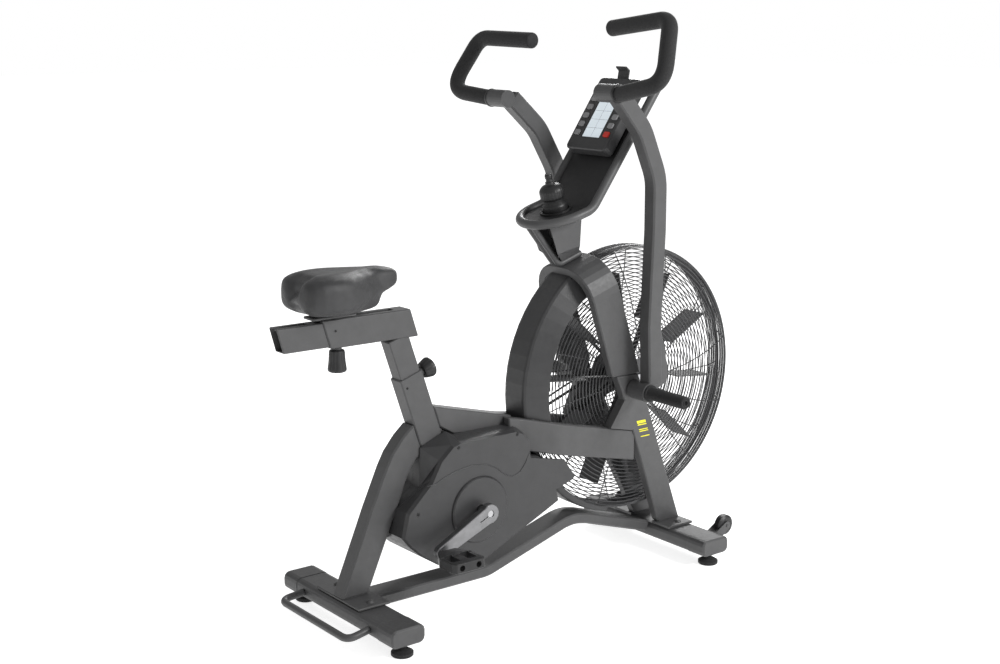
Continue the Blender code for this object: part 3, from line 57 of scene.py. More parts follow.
class Finish:
    """A Principled material whose colour, roughness and relief come from noise in object space."""

    def __init__(self, name, colour, roughness, metallic=0.0, **sockets):
        self.made = bpy.data.materials.new(name)
        self.made.use_nodes = True
        self.tree = self.made.node_tree
        self.shader = self.tree.nodes["Principled BSDF"]
        self.colour = colour
        self.shader.inputs["Roughness"].default_value = roughness
        self.shader.inputs["Metallic"].default_value = metallic
        for socket, value in sockets.items():
            self.shader.inputs[socket.replace("_", " ")].default_value = value
        self.roughness = roughness
        self.coords = self.tree.nodes.new("ShaderNodeTexCoord").outputs["Object"]
        self.normal = None

    def link(self, start, end):
        self.tree.links.new(start, end)

    def stretched(self, scale):
        """Object coordinates scaled by axis."""
        node = self.tree.nodes.new("ShaderNodeMapping")
        node.inputs["Scale"].default_value = scale
        self.link(self.coords, node.inputs["Vector"])
        return node.outputs["Vector"]

    def noise(self, scale, detail=3.0, coords=None):
        node = self.tree.nodes.new("ShaderNodeTexNoise")
        node.inputs["Scale"].default_value = scale
        node.inputs["Detail"].default_value = detail
        self.link(coords or self.coords, node.inputs["Vector"])
        return node.outputs["Fac"]

    def cells(self, scale, feature="DISTANCE_TO_EDGE"):
        node = self.tree.nodes.new("ShaderNodeTexVoronoi")
        node.feature = feature
        node.inputs["Scale"].default_value = scale
        self.link(self.coords, node.inputs["Vector"])
        return node.outputs["Distance"]

    def ranged(self, value, low, high, start=0.3, end=0.7):
        node = self.tree.nodes.new("ShaderNodeMapRange")
        for socket, number in (("From Min", start), ("From Max", end), ("To Min", low), ("To Max", high)):
            node.inputs[socket].default_value = number
        self.link(value, node.inputs["Value"])
        return node.outputs["Result"]

    def mixed(self, share, first, second):
        """Blend two colours, each a tuple or a link, by a share."""
        node = self.tree.nodes.new("ShaderNodeMix")
        node.data_type = "RGBA"
        self.link(share, node.inputs["Factor"])
        for socket, value in ((node.inputs[6], first), (node.inputs[7], second)):
            if isinstance(value, tuple):
                socket.default_value = (*value, 1.0)
            else:
                self.link(value, socket)
        return node.outputs[2]

    def relief(self, height, distance, strength=1.0):
        """Add a bump layer on top of the ones before it."""
        node = self.tree.nodes.new("ShaderNodeBump")
        node.inputs["Strength"].default_value = strength
        node.inputs["Distance"].default_value = distance
        self.link(height, node.inputs["Height"])
        if self.normal:
            self.link(self.normal, node.inputs["Normal"])
        self.normal = node.outputs["Normal"]

    def rounded_edges(self, radius):
        """Soften the shading of hard edges and return a mask that is 1 on them."""
        bevel = self.tree.nodes.new("ShaderNodeBevel")
        bevel.samples = 4
        bevel.inputs["Radius"].default_value = radius
        face = self.tree.nodes.new("ShaderNodeNewGeometry")
        dot = self.tree.nodes.new("ShaderNodeVectorMath")
        dot.operation = "DOT_PRODUCT"
        self.link(bevel.outputs["Normal"], dot.inputs[0])
        self.link(face.outputs["Normal"], dot.inputs[1])
        self.normal = bevel.outputs["Normal"]
        return self.ranged(dot.outputs["Value"], 1.0, 0.0, 0.86, 0.985)

    def shaded(self, spread, scale, edge_highlight=None, highlight_gain=1.6):
        """Colour with soft mottling, and a painted highlight: a lighter tone where the edge mask is set."""
        low = tuple(part * (1 - spread) for part in self.colour)
        high = tuple(part * (1 + spread) for part in self.colour)
        base = self.mixed(self.ranged(self.noise(scale), 0.0, 1.0), low, high)
        # Painted highlight: the edge mask lightens the colour by a gain, standing in for light catching the
        # edges.
        if edge_highlight:
            highlight_colour = tuple(min(part * highlight_gain, 1.0) for part in self.colour)
            base = self.mixed(edge_highlight, base, highlight_colour)
        self.link(base, self.shader.inputs["Base Color"])

    def uneven_gloss(self, spread, scale):
        low, high = self.roughness - spread, self.roughness + spread
        self.link(self.ranged(self.noise(scale), low, high), self.shader.inputs["Roughness"])

    def done(self):
        if self.normal:
            self.link(self.normal, self.shader.inputs["Normal"])
        return self.made


def powder_coat(name, colour, roughness, highlight_gain=1.9):
    """Fine orange-peel paint, slightly paler along its edges as a painted highlight."""
    finish = Finish(name, colour, roughness, Specular_IOR_Level=0.45)
    edges = finish.rounded_edges(0.0014)
    # Painted highlight along the edges.
    finish.shaded(0.07, 38.0, edges, highlight_gain)
    finish.uneven_gloss(0.05, 160.0)
    finish.relief(finish.noise(1100.0, 2.0), 0.00012, 0.55)
    finish.relief(finish.noise(260.0, 2.0), 0.00018, 0.25)
    return finish.done()


def moulded_plastic(name, colour, roughness, grain=1500.0, depth=0.00010, highlight_gain=1.5):
    """Injection-moulded plastic with a fine spark-eroded grain and a painted highlight along its edges."""
    finish = Finish(name, colour, roughness, Specular_IOR_Level=0.42)
    edges = finish.rounded_edges(0.0011)
    # Painted highlight: the edge mask lightens the colour along edges.
    finish.shaded(0.08, 24.0, edges, highlight_gain)
    finish.uneven_gloss(0.06, 90.0)
    finish.relief(finish.cells(grain, "F1"), depth, 0.6)
    return finish.done()


def foam_rubber(name, colour):
    """Closed-cell foam: matt, pitted and a little uneven in tone."""
    finish = Finish(name, colour, 0.80, Specular_IOR_Level=0.30, Sheen_Weight=0.08, Sheen_Roughness=0.5)
    finish.shaded(0.16, 300.0)
    finish.uneven_gloss(0.07, 220.0)
    finish.relief(finish.cells(900.0, "F1"), 0.00022, 0.7)
    finish.relief(finish.noise(70.0, 3.0), 0.0006, 0.25)
    return finish.done()


def saddle_vinyl():
    """Grained vinyl stretched over foam."""
    finish = Finish("saddle_vinyl", (0.030, 0.030, 0.031), 0.50, Specular_IOR_Level=0.40,
                    Sheen_Weight=0.06, Sheen_Roughness=0.45)
    finish.shaded(0.12, 45.0)
    finish.uneven_gloss(0.07, 60.0)
    finish.relief(finish.ranged(finish.cells(620.0), 0.0, 1.0, 0.0, 0.16), 0.00022, 0.45)
    finish.relief(finish.noise(34.0, 3.0), 0.0010, 0.18)
    return finish.done()


def bare_metal(name, colour, roughness, stretch):
    """Brushed or turned metal, with long fine scratches and a painted highlight along its edges."""
    finish = Finish(name, colour, roughness, 1.0)
    edges = finish.rounded_edges(0.0009)
    # Painted highlight: the edge mask lightens the colour along edges.
    finish.shaded(0.10, 60.0, edges, 1.25)
    lines = finish.noise(1.0, 3.0, finish.stretched(stretch))
    finish.link(finish.ranged(lines, roughness - 0.08, roughness + 0.10), finish.shader.inputs["Roughness"])
    finish.relief(lines, 0.00006, 0.5)
    return finish.done()


def liquid_crystal():
    """Pale display behind clear glass, with faint cloudy unevenness and a faint painted glow."""
    finish = Finish("screen_face", (0.66, 0.74, 0.80), 0.12, Coat_Weight=0.6, Coat_Roughness=0.05)
    finish.shaded(0.05, 30.0)
    finish.relief(finish.noise(60.0, 1.0), 0.00005, 0.1)
    # Painted glow: a faint pale emission stands in for light falling on the display.
    finish.shader.inputs["Emission Color"].default_value = (0.80, 0.88, 0.93, 1.0)
    finish.shader.inputs["Emission Strength"].default_value = 0.35
    return finish.done()


FRAME_GREY = (0.060, 0.060, 0.061)
# In the calls below, a trailing 1.3 or 1.1 is the gain of the painted edge highlight.
FINISHES = {
    "frame_paint": powder_coat("frame_powder_coat", FRAME_GREY, 0.48),
    "cover_plastic": moulded_plastic("cover_moulding", (0.034, 0.034, 0.035), 0.42),
    "black_plastic": moulded_plastic("black_moulding", (0.014, 0.014, 0.0145), 0.44, 1900.0),
    "rubber": foam_rubber("foam_rubber", (0.016, 0.016, 0.0165)),
    "saddle_cover": saddle_vinyl(),
    "alloy": bare_metal("crank_alloy", (0.22, 0.22, 0.225), 0.38, (30.0, 900.0, 900.0)),
    "steel": bare_metal("plain_steel", (0.46, 0.46, 0.47), 0.34, (700.0, 40.0, 700.0)),
    "cage_wire": powder_coat("guard_wire", (0.050, 0.050, 0.052), 0.36, 1.3),
    "screen_glass": liquid_crystal(),
    "button_plastic": moulded_plastic("key_moulding", (0.24, 0.24, 0.245), 0.50, 2400.0, 0.00006, 1.3),
    "red_button": moulded_plastic("red_key_moulding", (0.60, 0.035, 0.022), 0.45, 2400.0, 0.00006, 1.3),
}
STRIPE_YELLOW = moulded_plastic("stripe_ink", (0.78, 0.72, 0.02), 0.55, 2400.0, 0.00004, 1.1)
FAN_PAINT = powder_coat("fan_paint", (0.075, 0.075, 0.077), 0.50)
DARK_INK = moulded_plastic("dark_ink", (0.05, 0.06, 0.07), 0.5, 2400.0, 0.00003, 1.1)


def node_slot(node):
    """Material slot of a CAD node, by the name of its imported material."""
    name = node.data.materials[0].name
    matches = [slot for slot in FINISHES if name.startswith(slot)]
    return max(matches, key=len)


def paint_frame():
    for name, node in NODES.items():
        finish = FAN_PAINT if name == "fan_rotor" else FINISHES[node_slot(node)]
        for index in range(len(node.data.materials)):
            node.data.materials[index] = finish


# ---- mesh code -----------------------------------------------------------------------------------


def piece(name, verts, faces, finish, body, smooth_deg=35.0):
    """Make a mesh piece that rides on a body. The finish is a slot's name or a material."""
    data = bpy.data.meshes.new(name)
    data.from_pydata([tuple(vert) for vert in verts], [], faces)
    mesh = bmesh.new()
    mesh.from_mesh(data)
    bmesh.ops.recalc_face_normals(mesh, faces=mesh.faces)
    mesh.to_mesh(data)
    mesh.free()
    data.shade_smooth()
    data.set_sharp_from_angle(angle=math.radians(smooth_deg))
    made = bpy.data.objects.new(name, data)
    bpy.context.scene.collection.objects.link(made)
    data.materials.append(FINISHES[finish] if isinstance(finish, str) else finish)
    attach(made, body)
    return made


class Shape:
    """Vertices and faces that grow by adding closed solids."""

    def __init__(self):
        self.verts = []
        self.faces = []

    def skin(self, rings, closed=False, capped=True):
        """Add a row of equal rings of points as one skin."""
        base = len(self.verts)
        count = len(rings[0])
        for ring in rings:
            self.verts.extend(Vector(point) for point in ring)
        spans = len(rings) if closed else len(rings) - 1
        for step in range(spans):
            near = base + step * count
            far = base + (step + 1) % len(rings) * count
            for index in range(count):
                after = (index + 1) % count
                self.faces.append((near + index, near + after, far + after, far + index))
        if not closed and capped:
            self.faces.append(tuple(range(base, base + count)))
            self.faces.append(tuple(range(base + (len(rings) - 1) * count, base + len(rings) * count)))
        return self

    def wire(self, path, radius, sides=8, closed=False):
        """Add a round wire along a path, without twist. The radius is one number or one per point."""
        points = [Vector(point) for point in path]
        count = len(points)
        radii = [radius] * count if isinstance(radius, (int, float)) else radius
        side = None
        rings = []
        for index, point in enumerate(points):
            before = points[index - 1] if closed or index else points[0]
            after = points[(index + 1) % count] if closed or index < count - 1 else points[-1]
            way = (after - before).normalized()
            side = way.orthogonal() if side is None else side - way * side.dot(way)
            side.normalize()
            up = way.cross(side)
            ring = []
            for step in range(sides):
                angle = math.tau * step / sides
                ring.append(point + radii[index] * (side * math.cos(angle) + up * math.sin(angle)))
            rings.append(ring)
        return self.skin(rings, closed)

    def turned(self, profile, centre, axis, steps=48, flutes=0, flute_depth=0.0, fluted=(0.0, 0.0)):
        """Add a profile of (radius, distance) turned about an axis, with optional flutes along it."""
        turn = Vector((0, 0, 1)).rotation_difference(Vector(axis)).to_matrix()
        rings = []
        for radius, along in profile:
            inside = fluted[0] <= along <= fluted[1]
            ring = []
            for index in range(steps):
                angle = math.tau * index / steps
                wave = max(0.0, math.cos(angle * flutes)) ** 2 if flutes and inside else 0.0
                reach = radius - flute_depth * wave
                point = Vector((reach * math.cos(angle), reach * math.sin(angle), along))
                ring.append(Vector(centre) + turn @ point)
            rings.append(ring)
        return self.skin(rings)

    def block(self, outline, low_y, high_y):
        """Add an outline of (x, z) points between two values of Y."""
        return self.skin([[(x, y, z) for x, z in outline] for y in (low_y, high_y)])

    def made(self, name, finish, body, slot=None, smooth_deg=35.0):
        return piece(name, self.verts, self.faces, finish, body, smooth_deg)


def at(station):
    return station - MIDDLE_STATION


def fillet(points, radius, steps=8):
    """Round the inner corners of an open path."""
    row = [Vector(point) for point in points]
    made = [row[0]]
    for before, corner, after in zip(row, row[1:], row[2:]):
        back, ahead = (before - corner).normalized(), (after - corner).normalized()
        reach = radius / math.tan(back.angle(ahead) / 2)
        reach = min(reach, 0.45 * (before - corner).length, 0.45 * (after - corner).length)
        for index in range(steps + 1):
            share = index / steps
            start, end = corner + back * reach, corner + ahead * reach
            made.append(start.lerp(corner, share).lerp(corner.lerp(end, share), share))
    made.append(row[-1])
    return made


def rounded_profile(radius, low, high, edge, steps=4):
    """Profile of a short cylinder with rounded rims, for Shape.turned."""
    row = [(radius - edge + edge * math.sin(math.radians(90 * i / steps)),
            low + edge - edge * math.cos(math.radians(90 * i / steps))) for i in range(steps + 1)]
    row += [(radius - edge + edge * math.cos(math.radians(90 * i / steps)),
             high - edge + edge * math.sin(math.radians(90 * i / steps))) for i in range(steps + 1)]
    return row


# ---- fan guard -----------------------------------------------------------------------------------


FAN = (at(0.869), 0.467)
CRANK = (at(0.352), 0.236)
CAGE_RADIUS, CAGE_RIM_HALF, CAGE_DOME = 0.336, 0.031, 0.034
RING_WIRE, SPOKE_WIRE, RIM_WIRE, SEAM_WIRE = 0.0014, 0.0014, 0.0018, 0.0022
RING_PITCH, FIRST_RING, LAST_RING = 0.0098, 0.066, 0.326
DRUM_RINGS = (0.0080, 0.0120, 0.0160, 0.0200, 0.0240)
SPOKES = 12
SPOKE_SWEEP_DEG = 7.0  # how far a spoke leans round from hub to rim
WINDOW_NEAR, WINDOW_FAR = (0.064, 0.038), (0.286, 0.066)  # (distance from the axis, half width)


def cage_half(radius):
    """Half width of the guard at a radius."""
    return CAGE_RIM_HALF + CAGE_DOME * (1 - (radius / CAGE_RADIUS) ** 2)


def cage_point(radius, angle, y):
    return Vector((FAN[0] + radius * math.cos(angle), y, FAN[1] + radius * math.sin(angle)))


def in_window(point):
    """True inside the opening of the left guard that the drive belt passes through."""
    heading = Vector((CRANK[0] - FAN[0], CRANK[1] - FAN[1])).normalized()
    offset = Vector((point.x - FAN[0], point.z - FAN[1]))
    along, across = offset.dot(heading), abs(heading.x * offset.y - heading.y * offset.x)
    if not WINDOW_NEAR[0] < along < WINDOW_FAR[0]:
        return False
    share = (along - WINDOW_NEAR[0]) / (WINDOW_FAR[0] - WINDOW_NEAR[0])
    return across < WINDOW_NEAR[1] + (WINDOW_FAR[1] - WINDOW_NEAR[1]) * share


def broken_wire(shape, path, radius, sides, closed, windowed):
    """Add a wire, leaving out what crosses the belt's opening."""
    if not windowed or not any(in_window(point) for point in path):
        shape.wire(path, radius, sides, closed)
        return
    keep = [not in_window(point) for point in path]
    if closed:
        start = next(i for i in range(len(path)) if keep[i] and not keep[i - 1])
        path = path[start:] + path[:start]
        keep = keep[start:] + keep[:start]
    run = []
    for point, kept in list(zip(path, keep)) + [(None, False)]:
        if kept:
            run.append(point)
        else:
            if len(run) > 1:
                shape.wire(run, radius, sides)
            run = []


def guard_wires(side, phase_deg):
    """Rings, drum rings, spokes and hub plate of one dished guard."""
    shape = Shape()
    windowed = side > 0
    count = round((LAST_RING - FIRST_RING) / RING_PITCH) + 1
    for index in range(count):
        radius = FIRST_RING + RING_PITCH * index
        steps = 72 if radius < 0.18 else 120
        y = side * (cage_half(radius) - RING_WIRE - 0.0004)
        path = [cage_point(radius, math.tau * step / steps, y) for step in range(steps)]
        broken_wire(shape, path, RING_WIRE, 6, True, windowed)
    around = [math.tau * step / 144 for step in range(144)]
    for y in DRUM_RINGS:
        path = [cage_point(CAGE_RADIUS - RING_WIRE, angle, side * y) for angle in around]
        shape.wire(path, RING_WIRE, 6, True)
    rim = [cage_point(CAGE_RADIUS - RIM_WIRE, angle, side * (CAGE_RIM_HALF - RIM_WIRE)) for angle in around]
    shape.wire(rim, RIM_WIRE, 8, True)
    seam = [cage_point(CAGE_RADIUS - SEAM_WIRE, angle, side * (SEAM_WIRE + 0.0004)) for angle in around]
    shape.wire(seam, SEAM_WIRE, 8, True)
    for index in range(SPOKES):
        start = math.radians(phase_deg + 360 / SPOKES * index)
        path = []
        for step in range(25):
            radius = 0.050 + (0.329 - 0.050) * step / 24
            angle = start + math.radians(SPOKE_SWEEP_DEG) * (step / 24) ** 1.5
            y = side * (cage_half(radius) - 2 * RING_WIRE - SPOKE_WIRE - 0.0004)
            path.append(cage_point(radius, angle, y))
        last = start + math.radians(SPOKE_SWEEP_DEG)
        inside = CAGE_RADIUS - 2 * RING_WIRE - SPOKE_WIRE
        for share in (0.25, 0.5, 0.75, 1.0):
            y = CAGE_RIM_HALF - 0.004 - (CAGE_RIM_HALF - 0.0105) * share
            path.append(cage_point(inside, last + math.radians(2.2) * share, side * y))
        broken_wire(shape, path, SPOKE_WIRE, 6, False, windowed)
    if windowed:
        shape.wire(window_frame(side), 0.0024, 8, True)
    name = "guard_wires_left" if side > 0 else "guard_wires_right"
    node = "fan_cage_left" if side > 0 else "fan_cage_right"
    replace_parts(shape.made(name, "cage_wire", "frame"), node)
    hub_plate(side, name.replace("wires", "hub"))


def window_frame(side):
    """Edge wire round the belt's opening, lying on the guard's surface."""
    heading = Vector((CRANK[0] - FAN[0], CRANK[1] - FAN[1])).normalized()
    across = Vector((-heading.y, heading.x))
    corners = [(WINDOW_NEAR[0], WINDOW_NEAR[1]), (WINDOW_FAR[0], WINDOW_FAR[1]),
               (WINDOW_FAR[0], -WINDOW_FAR[1]), (WINDOW_NEAR[0], -WINDOW_NEAR[1])]
    path = []
    for first, second in zip(corners, corners[1:] + corners[:1]):
        for step in range(12):
            along = first[0] + (second[0] - first[0]) * step / 12
            reach = first[1] + (second[1] - first[1]) * step / 12
            offset = heading * along + across * reach
            y = side * (cage_half(offset.length) - 0.0028)
            path.append(Vector((FAN[0] + offset.x, y, FAN[1] + offset.y)))
    return path


def hub_plate(side, name):
    """Pressed disc in the middle of a guard, dished, with a rolled rim."""
    rows = [(0.0150, 0.0640), (0.0170, 0.0648), (0.0300, 0.0640), (0.0450, 0.0630), (0.0530, 0.0636),
            (0.0575, 0.0630), (0.0590, 0.0614), (0.0580, 0.0606), (0.0440, 0.0614), (0.0300, 0.0624),
            (0.0170, 0.0630), (0.0150, 0.0632)]
    rings = []
    for step in range(64):
        angle = math.tau * step / 64
        rings.append([cage_point(radius, angle, side * y) for radius, y in rows])
    Shape().skin(rings, closed=True).made(name, "cage_wire", "frame")


# ---- saddle --------------------------------------------------------------------------------------


SADDLE_ROWS = (
    # station, half width, underside, top
    (-0.0880, 0.034, 0.7600, 0.7980),
    (-0.0845, 0.057, 0.7480, 0.8120),
    (-0.0740, 0.073, 0.7400, 0.8200),
    (-0.0550, 0.082, 0.7350, 0.8245),
    (-0.0300, 0.086, 0.7330, 0.8265),
    (-0.0050, 0.086, 0.7320, 0.8270),
    (0.0200, 0.080, 0.7310, 0.8270),
    (0.0450, 0.068, 0.7310, 0.8265),
    (0.0700, 0.054, 0.7315, 0.8260),
    (0.0950, 0.043, 0.7320, 0.8250),
    (0.1060, 0.039, 0.7340, 0.8248),
    (0.1120, 0.037, 0.7390, 0.8246),
    (0.1160, 0.036, 0.7520, 0.8244),
    (0.1220, 0.035, 0.7650, 0.8242),
    (0.1330, 0.033, 0.7690, 0.8237),
    (0.1480, 0.029, 0.7730, 0.8225),
    (0.1600, 0.025, 0.7770, 0.8205),
    (0.1690, 0.019, 0.7820, 0.8160),
    (0.1730, 0.011, 0.7890, 0.8090),
)
SADDLE_ROUNDNESS = 0.50  # 1 is an ellipse in cross-section, 0 a rectangle
GROOVE_DEPTH, GROOVE_WIDTH = 0.011, 0.024
PAD_CAP = 0.004  # furthest that the padding may swell from its pattern
PAD_VOXEL = 0.0045
PAD_PRESSURE, PAD_STEPS = 4.0, 20


def saddle_pattern():
    """Closed shape of the saddle before its padding swells."""
    shape = Shape()
    rings = []
    steps = 48
    back = SADDLE_ROWS[0][0]
    for station, half, low, high in SADDLE_ROWS:
        middle, rise = (low + high) / 2, (high - low) / 2
        share = max(0.0, 1 - (station - back) / 0.150)
        ring = []
        for index in range(steps):
            angle = math.tau * (index + 0.5) / steps
            side, up = math.cos(angle), math.sin(angle)
            y = half * math.copysign(abs(side) ** SADDLE_ROUNDNESS, side)
            z = middle + rise * math.copysign(abs(up) ** SADDLE_ROUNDNESS, up)
            dip = math.exp(-(y / GROOVE_WIDTH) ** 2) * share
            if up > 0:
                z -= GROOVE_DEPTH * dip * up
            notch = 0.014 * math.exp(-(y / 0.020) ** 2) * max(0.0, 1 - (station - back) / 0.030)
            ring.append((at(station) + notch, y, z))
        rings.append(ring)
    return shape.skin(rings)


def swell(pad):
    """Inflate the padding under a tight cover, then keep each point near its pattern."""
    remesh = pad.modifiers.new("remesh", "REMESH")
    remesh.mode = "VOXEL"
    remesh.voxel_size = PAD_VOXEL
    apply_modifiers(pad)
    start = [vert.co.copy() for vert in pad.data.vertices]
    cloth = pad.modifiers.new("cloth", "CLOTH")
    cloth.settings.quality = 5
    cloth.settings.mass = 0.3
    cloth.settings.tension_stiffness = 15
    cloth.settings.compression_stiffness = 15
    cloth.settings.bending_stiffness = 0.6
    cloth.settings.use_pressure = True
    cloth.settings.uniform_pressure_force = PAD_PRESSURE
    cloth.settings.effector_weights.gravity = 0.0
    cloth.collision_settings.use_collision = False
    scene = bpy.context.scene
    for step in range(1, PAD_STEPS + 1):
        scene.frame_set(step)
    apply_modifiers(pad)
    scene.frame_set(1)
    for vert, before in zip(pad.data.vertices, start):
        move = vert.co - before
        if move.length > PAD_CAP:
            vert.co = before + move * (PAD_CAP / move.length)


def apply_modifiers(item):
    graph = bpy.context.evaluated_depsgraph_get()
    data = bpy.data.meshes.new_from_object(item.evaluated_get(graph))
    item.modifiers.clear()
    item.data = data


def make_saddle():
    pattern = saddle_pattern()
    low = [min(vert[i] for vert in pattern.verts) for i in range(3)]
    high = [max(vert[i] for vert in pattern.verts) for i in range(3)]
    pad = pattern.made("saddle_pad", "saddle_cover", "saddle_slider")
    swell(pad)
    mesh = bmesh.new()
    mesh.from_mesh(pad.data)
    for _ in range(3):
        bmesh.ops.smooth_vert(mesh, verts=mesh.verts, factor=0.5, use_axis_x=True, use_axis_y=True,
                              use_axis_z=True)
    mesh.to_mesh(pad.data)
    mesh.free()
    fit(pad, low, high)
    finer = pad.modifiers.new("finer", "SUBSURF")
    finer.levels = finer.render_levels = 1
    apply_modifiers(pad)
    pad.data.shade_smooth()
    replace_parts(pad, "saddle")


def fit(item, low, high):
    """Scale a mesh to fill a box."""
    spans = [(min(v.co[i] for v in item.data.vertices), max(v.co[i] for v in item.data.vertices))
             for i in range(3)]
    for vert in item.data.vertices:
        for i in range(3):
            share = (vert.co[i] - spans[i][0]) / (spans[i][1] - spans[i][0])
            vert.co[i] = low[i] + share * (high[i] - low[i])


# ---- grips, pegs and knobs -----------------------------------------------------------------------


SLEEVE_AXIS = (at(0.673), 1.190)
RIGHT_GRIP = [(0.6646, -0.3373, 1.2186), (0.7341, -0.2821, 1.3582), (0.7369, -0.0800, 1.3348)]
LEFT_GRIP = [(0.6627, -0.3366, 1.2046), (0.7317, -0.2802, 1.3257), (0.7357, -0.0790, 1.3208)]
PIVOT = (at(0.803), 0.464)
LEFT_ARM_TURN = -7.1
GRIP_RADIUS, GRIP_BEND = 0.0190, 0.045


def mirrored(verts):
    return [Vector((vert[0], -vert[1], vert[2])) for vert in verts]


def turned_verts(verts, centre, degrees):
    """Turn points about an axis along Y."""
    point = Vector((centre[0], 0, centre[1]))
    turn = Matrix.Rotation(math.radians(degrees), 4, "Y")
    return [point + turn @ (Vector(vert) - point) for vert in verts]


def grip_shape(corners):
    """Foam of the right grip, from the sleeve out, round both corners and back to its rounded end."""
    start = Vector((SLEEVE_AXIS[0], -0.1768, SLEEVE_AXIS[1]))
    points = [(at(x), y, z) for x, y, z in corners]
    path = [start] + fillet([(start.x, -0.190, start.z)] + points, GRIP_BEND, 14)
    radii = [GRIP_RADIUS - 0.0022] + [GRIP_RADIUS] * (len(path) - 1)
    path[-1] = path[-1].lerp(path[-2], 0.03)
    way = (path[-1] - path[-2]).normalized()
    end = path[-1].copy()
    for reach, radius in ((0.0020, 0.0187), (0.0040, 0.0175), (0.0052, 0.0150), (0.0056, 0.0110),
                          (0.0056, 0.0050)):
        path.append(end + way * reach)
        radii.append(radius)
    return Shape().wire(path, radii, 32)


def make_grips():
    """Foam grips, and black collars where they leave the arms' sleeves, standing in for the shadowed gap
    there as painted shade.
    """
    # Painted shade: a black collar at the sleeve's outer end stands in for the dark, shadowed gap there.
    gap_shade_collar = Shape().turned(rounded_profile(0.0222, 0.0, 0.007, 0.0015),
                            (SLEEVE_AXIS[0], -0.1762, SLEEVE_AXIS[1]),
                            (0, -1, 0), 40)
    for side, name, corners in ((-1, "right", RIGHT_GRIP), (1, "left", LEFT_GRIP)):
        for part, label, finish in ((grip_shape(corners), "grip_foam_", "rubber"),
                                    (gap_shade_collar, "grip_collar_", "black_plastic")):
            verts = part.verts
            if side > 0:
                verts = turned_verts(mirrored(verts), PIVOT, LEFT_ARM_TURN)
            made = piece(label + name, verts, part.faces, finish, "arm_" + name)
            if label == "grip_foam_":
                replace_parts(made, "foam_grip_" + name)


def make_pegs():
    """Foam pegs with a stepped, hollow end, and the flange that keeps the arm on its axis."""
    profile = [(0.0100, -0.1056), (0.0162, -0.1060), (0.0162, -0.1086), (0.0098, -0.1089),
               (0.0098, -0.1668), (0.0192, -0.1668), (0.0205, -0.1676), (0.0205, -0.1712),
               (0.0196, -0.1720), (0.0166, -0.1724), (0.0160, -0.1736), (0.0160, -0.2850),
               (0.0156, -0.2884), (0.0142, -0.2908), (0.0122, -0.2920), (0.0108, -0.2920),
               (0.0104, -0.2906), (0.0084, -0.2902), (0.0080, -0.2914), (0.0062, -0.2914),
               (0.0056, -0.2900), (0.0050, -0.2860), (0.0020, -0.2850)]
    for side, name in ((-1, "right"), (1, "left")):
        profile_here = [(radius, -side * y) for radius, y in profile]
        shape = Shape().turned(profile_here, (PIVOT[0], 0, PIVOT[1]), (0, 1, 0), 40)
        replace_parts(shape.made("peg_foam_" + name, "rubber", "frame"), "foot_peg_" + name)


def make_knobs():
    """Fluted pull knobs."""
    low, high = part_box("slide_knob")
    centre = ((low.x + high.x) / 2, 0.0, high.z)
    profile = [(0.0100, 0.0), (0.0150, 0.0004), (0.0172, 0.0025), (0.0178, 0.006), (0.0182, 0.014),
               (0.0188, 0.024), (0.0198, 0.033), (0.0209, 0.040), (0.0213, 0.0440), (0.0208, 0.0470),
               (0.0190, 0.0490), (0.0150, 0.0505), (0.0080, 0.0515)]
    knob = Shape().turned(profile, centre, (0, 0, -1), 96, 10, 0.0011, (0.004, 0.0440))
    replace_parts(knob.made("slide_knob_grip", "black_plastic", "slide_pull"), "slide_knob")
    outward = Vector((0.9467, 0, 0.3220))
    start = Vector((at(0.201), 0, 0.569)) + Vector((-0.3220, 0, 0.9467)) * -0.014 + outward * 0.0408
    profile = [(0.0120, 0.0), (0.0165, 0.0004), (0.0182, 0.002), (0.0200, 0.006), (0.0222, 0.014),
               (0.0236, 0.020), (0.0237, 0.0235), (0.0226, 0.0262), (0.0200, 0.0285), (0.0150, 0.0298),
               (0.0080, 0.0305)]
    knob = Shape().turned(profile, start, outward, 96, 10, 0.0011, (0.005, 0.0236))
    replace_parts(knob.made("height_knob_grip", "black_plastic", "height_pull"), "height_knob")


# ---- round tubes and bottle ----------------------------------------------------------------------


LOOP_HALF, LOOP_TUBE, STRUT_ROD = 0.088, 0.011, 0.0077
RING_CENTRE = (at(0.6400), 0.9045)
RING_TILT = math.radians(16.0)
RING_AXIS = (-math.sin(RING_TILT), 0, math.cos(RING_TILT))


def on_ring(forward, across, up):
    """Point relative to the middle of the ring round the cup, in the ring's tilted plane."""
    x = RING_CENTRE[0] + forward * math.cos(RING_TILT) - up * math.sin(RING_TILT)
    z = RING_CENTRE[1] + forward * math.sin(RING_TILT) + up * math.cos(RING_TILT)
    return (x, across, z)


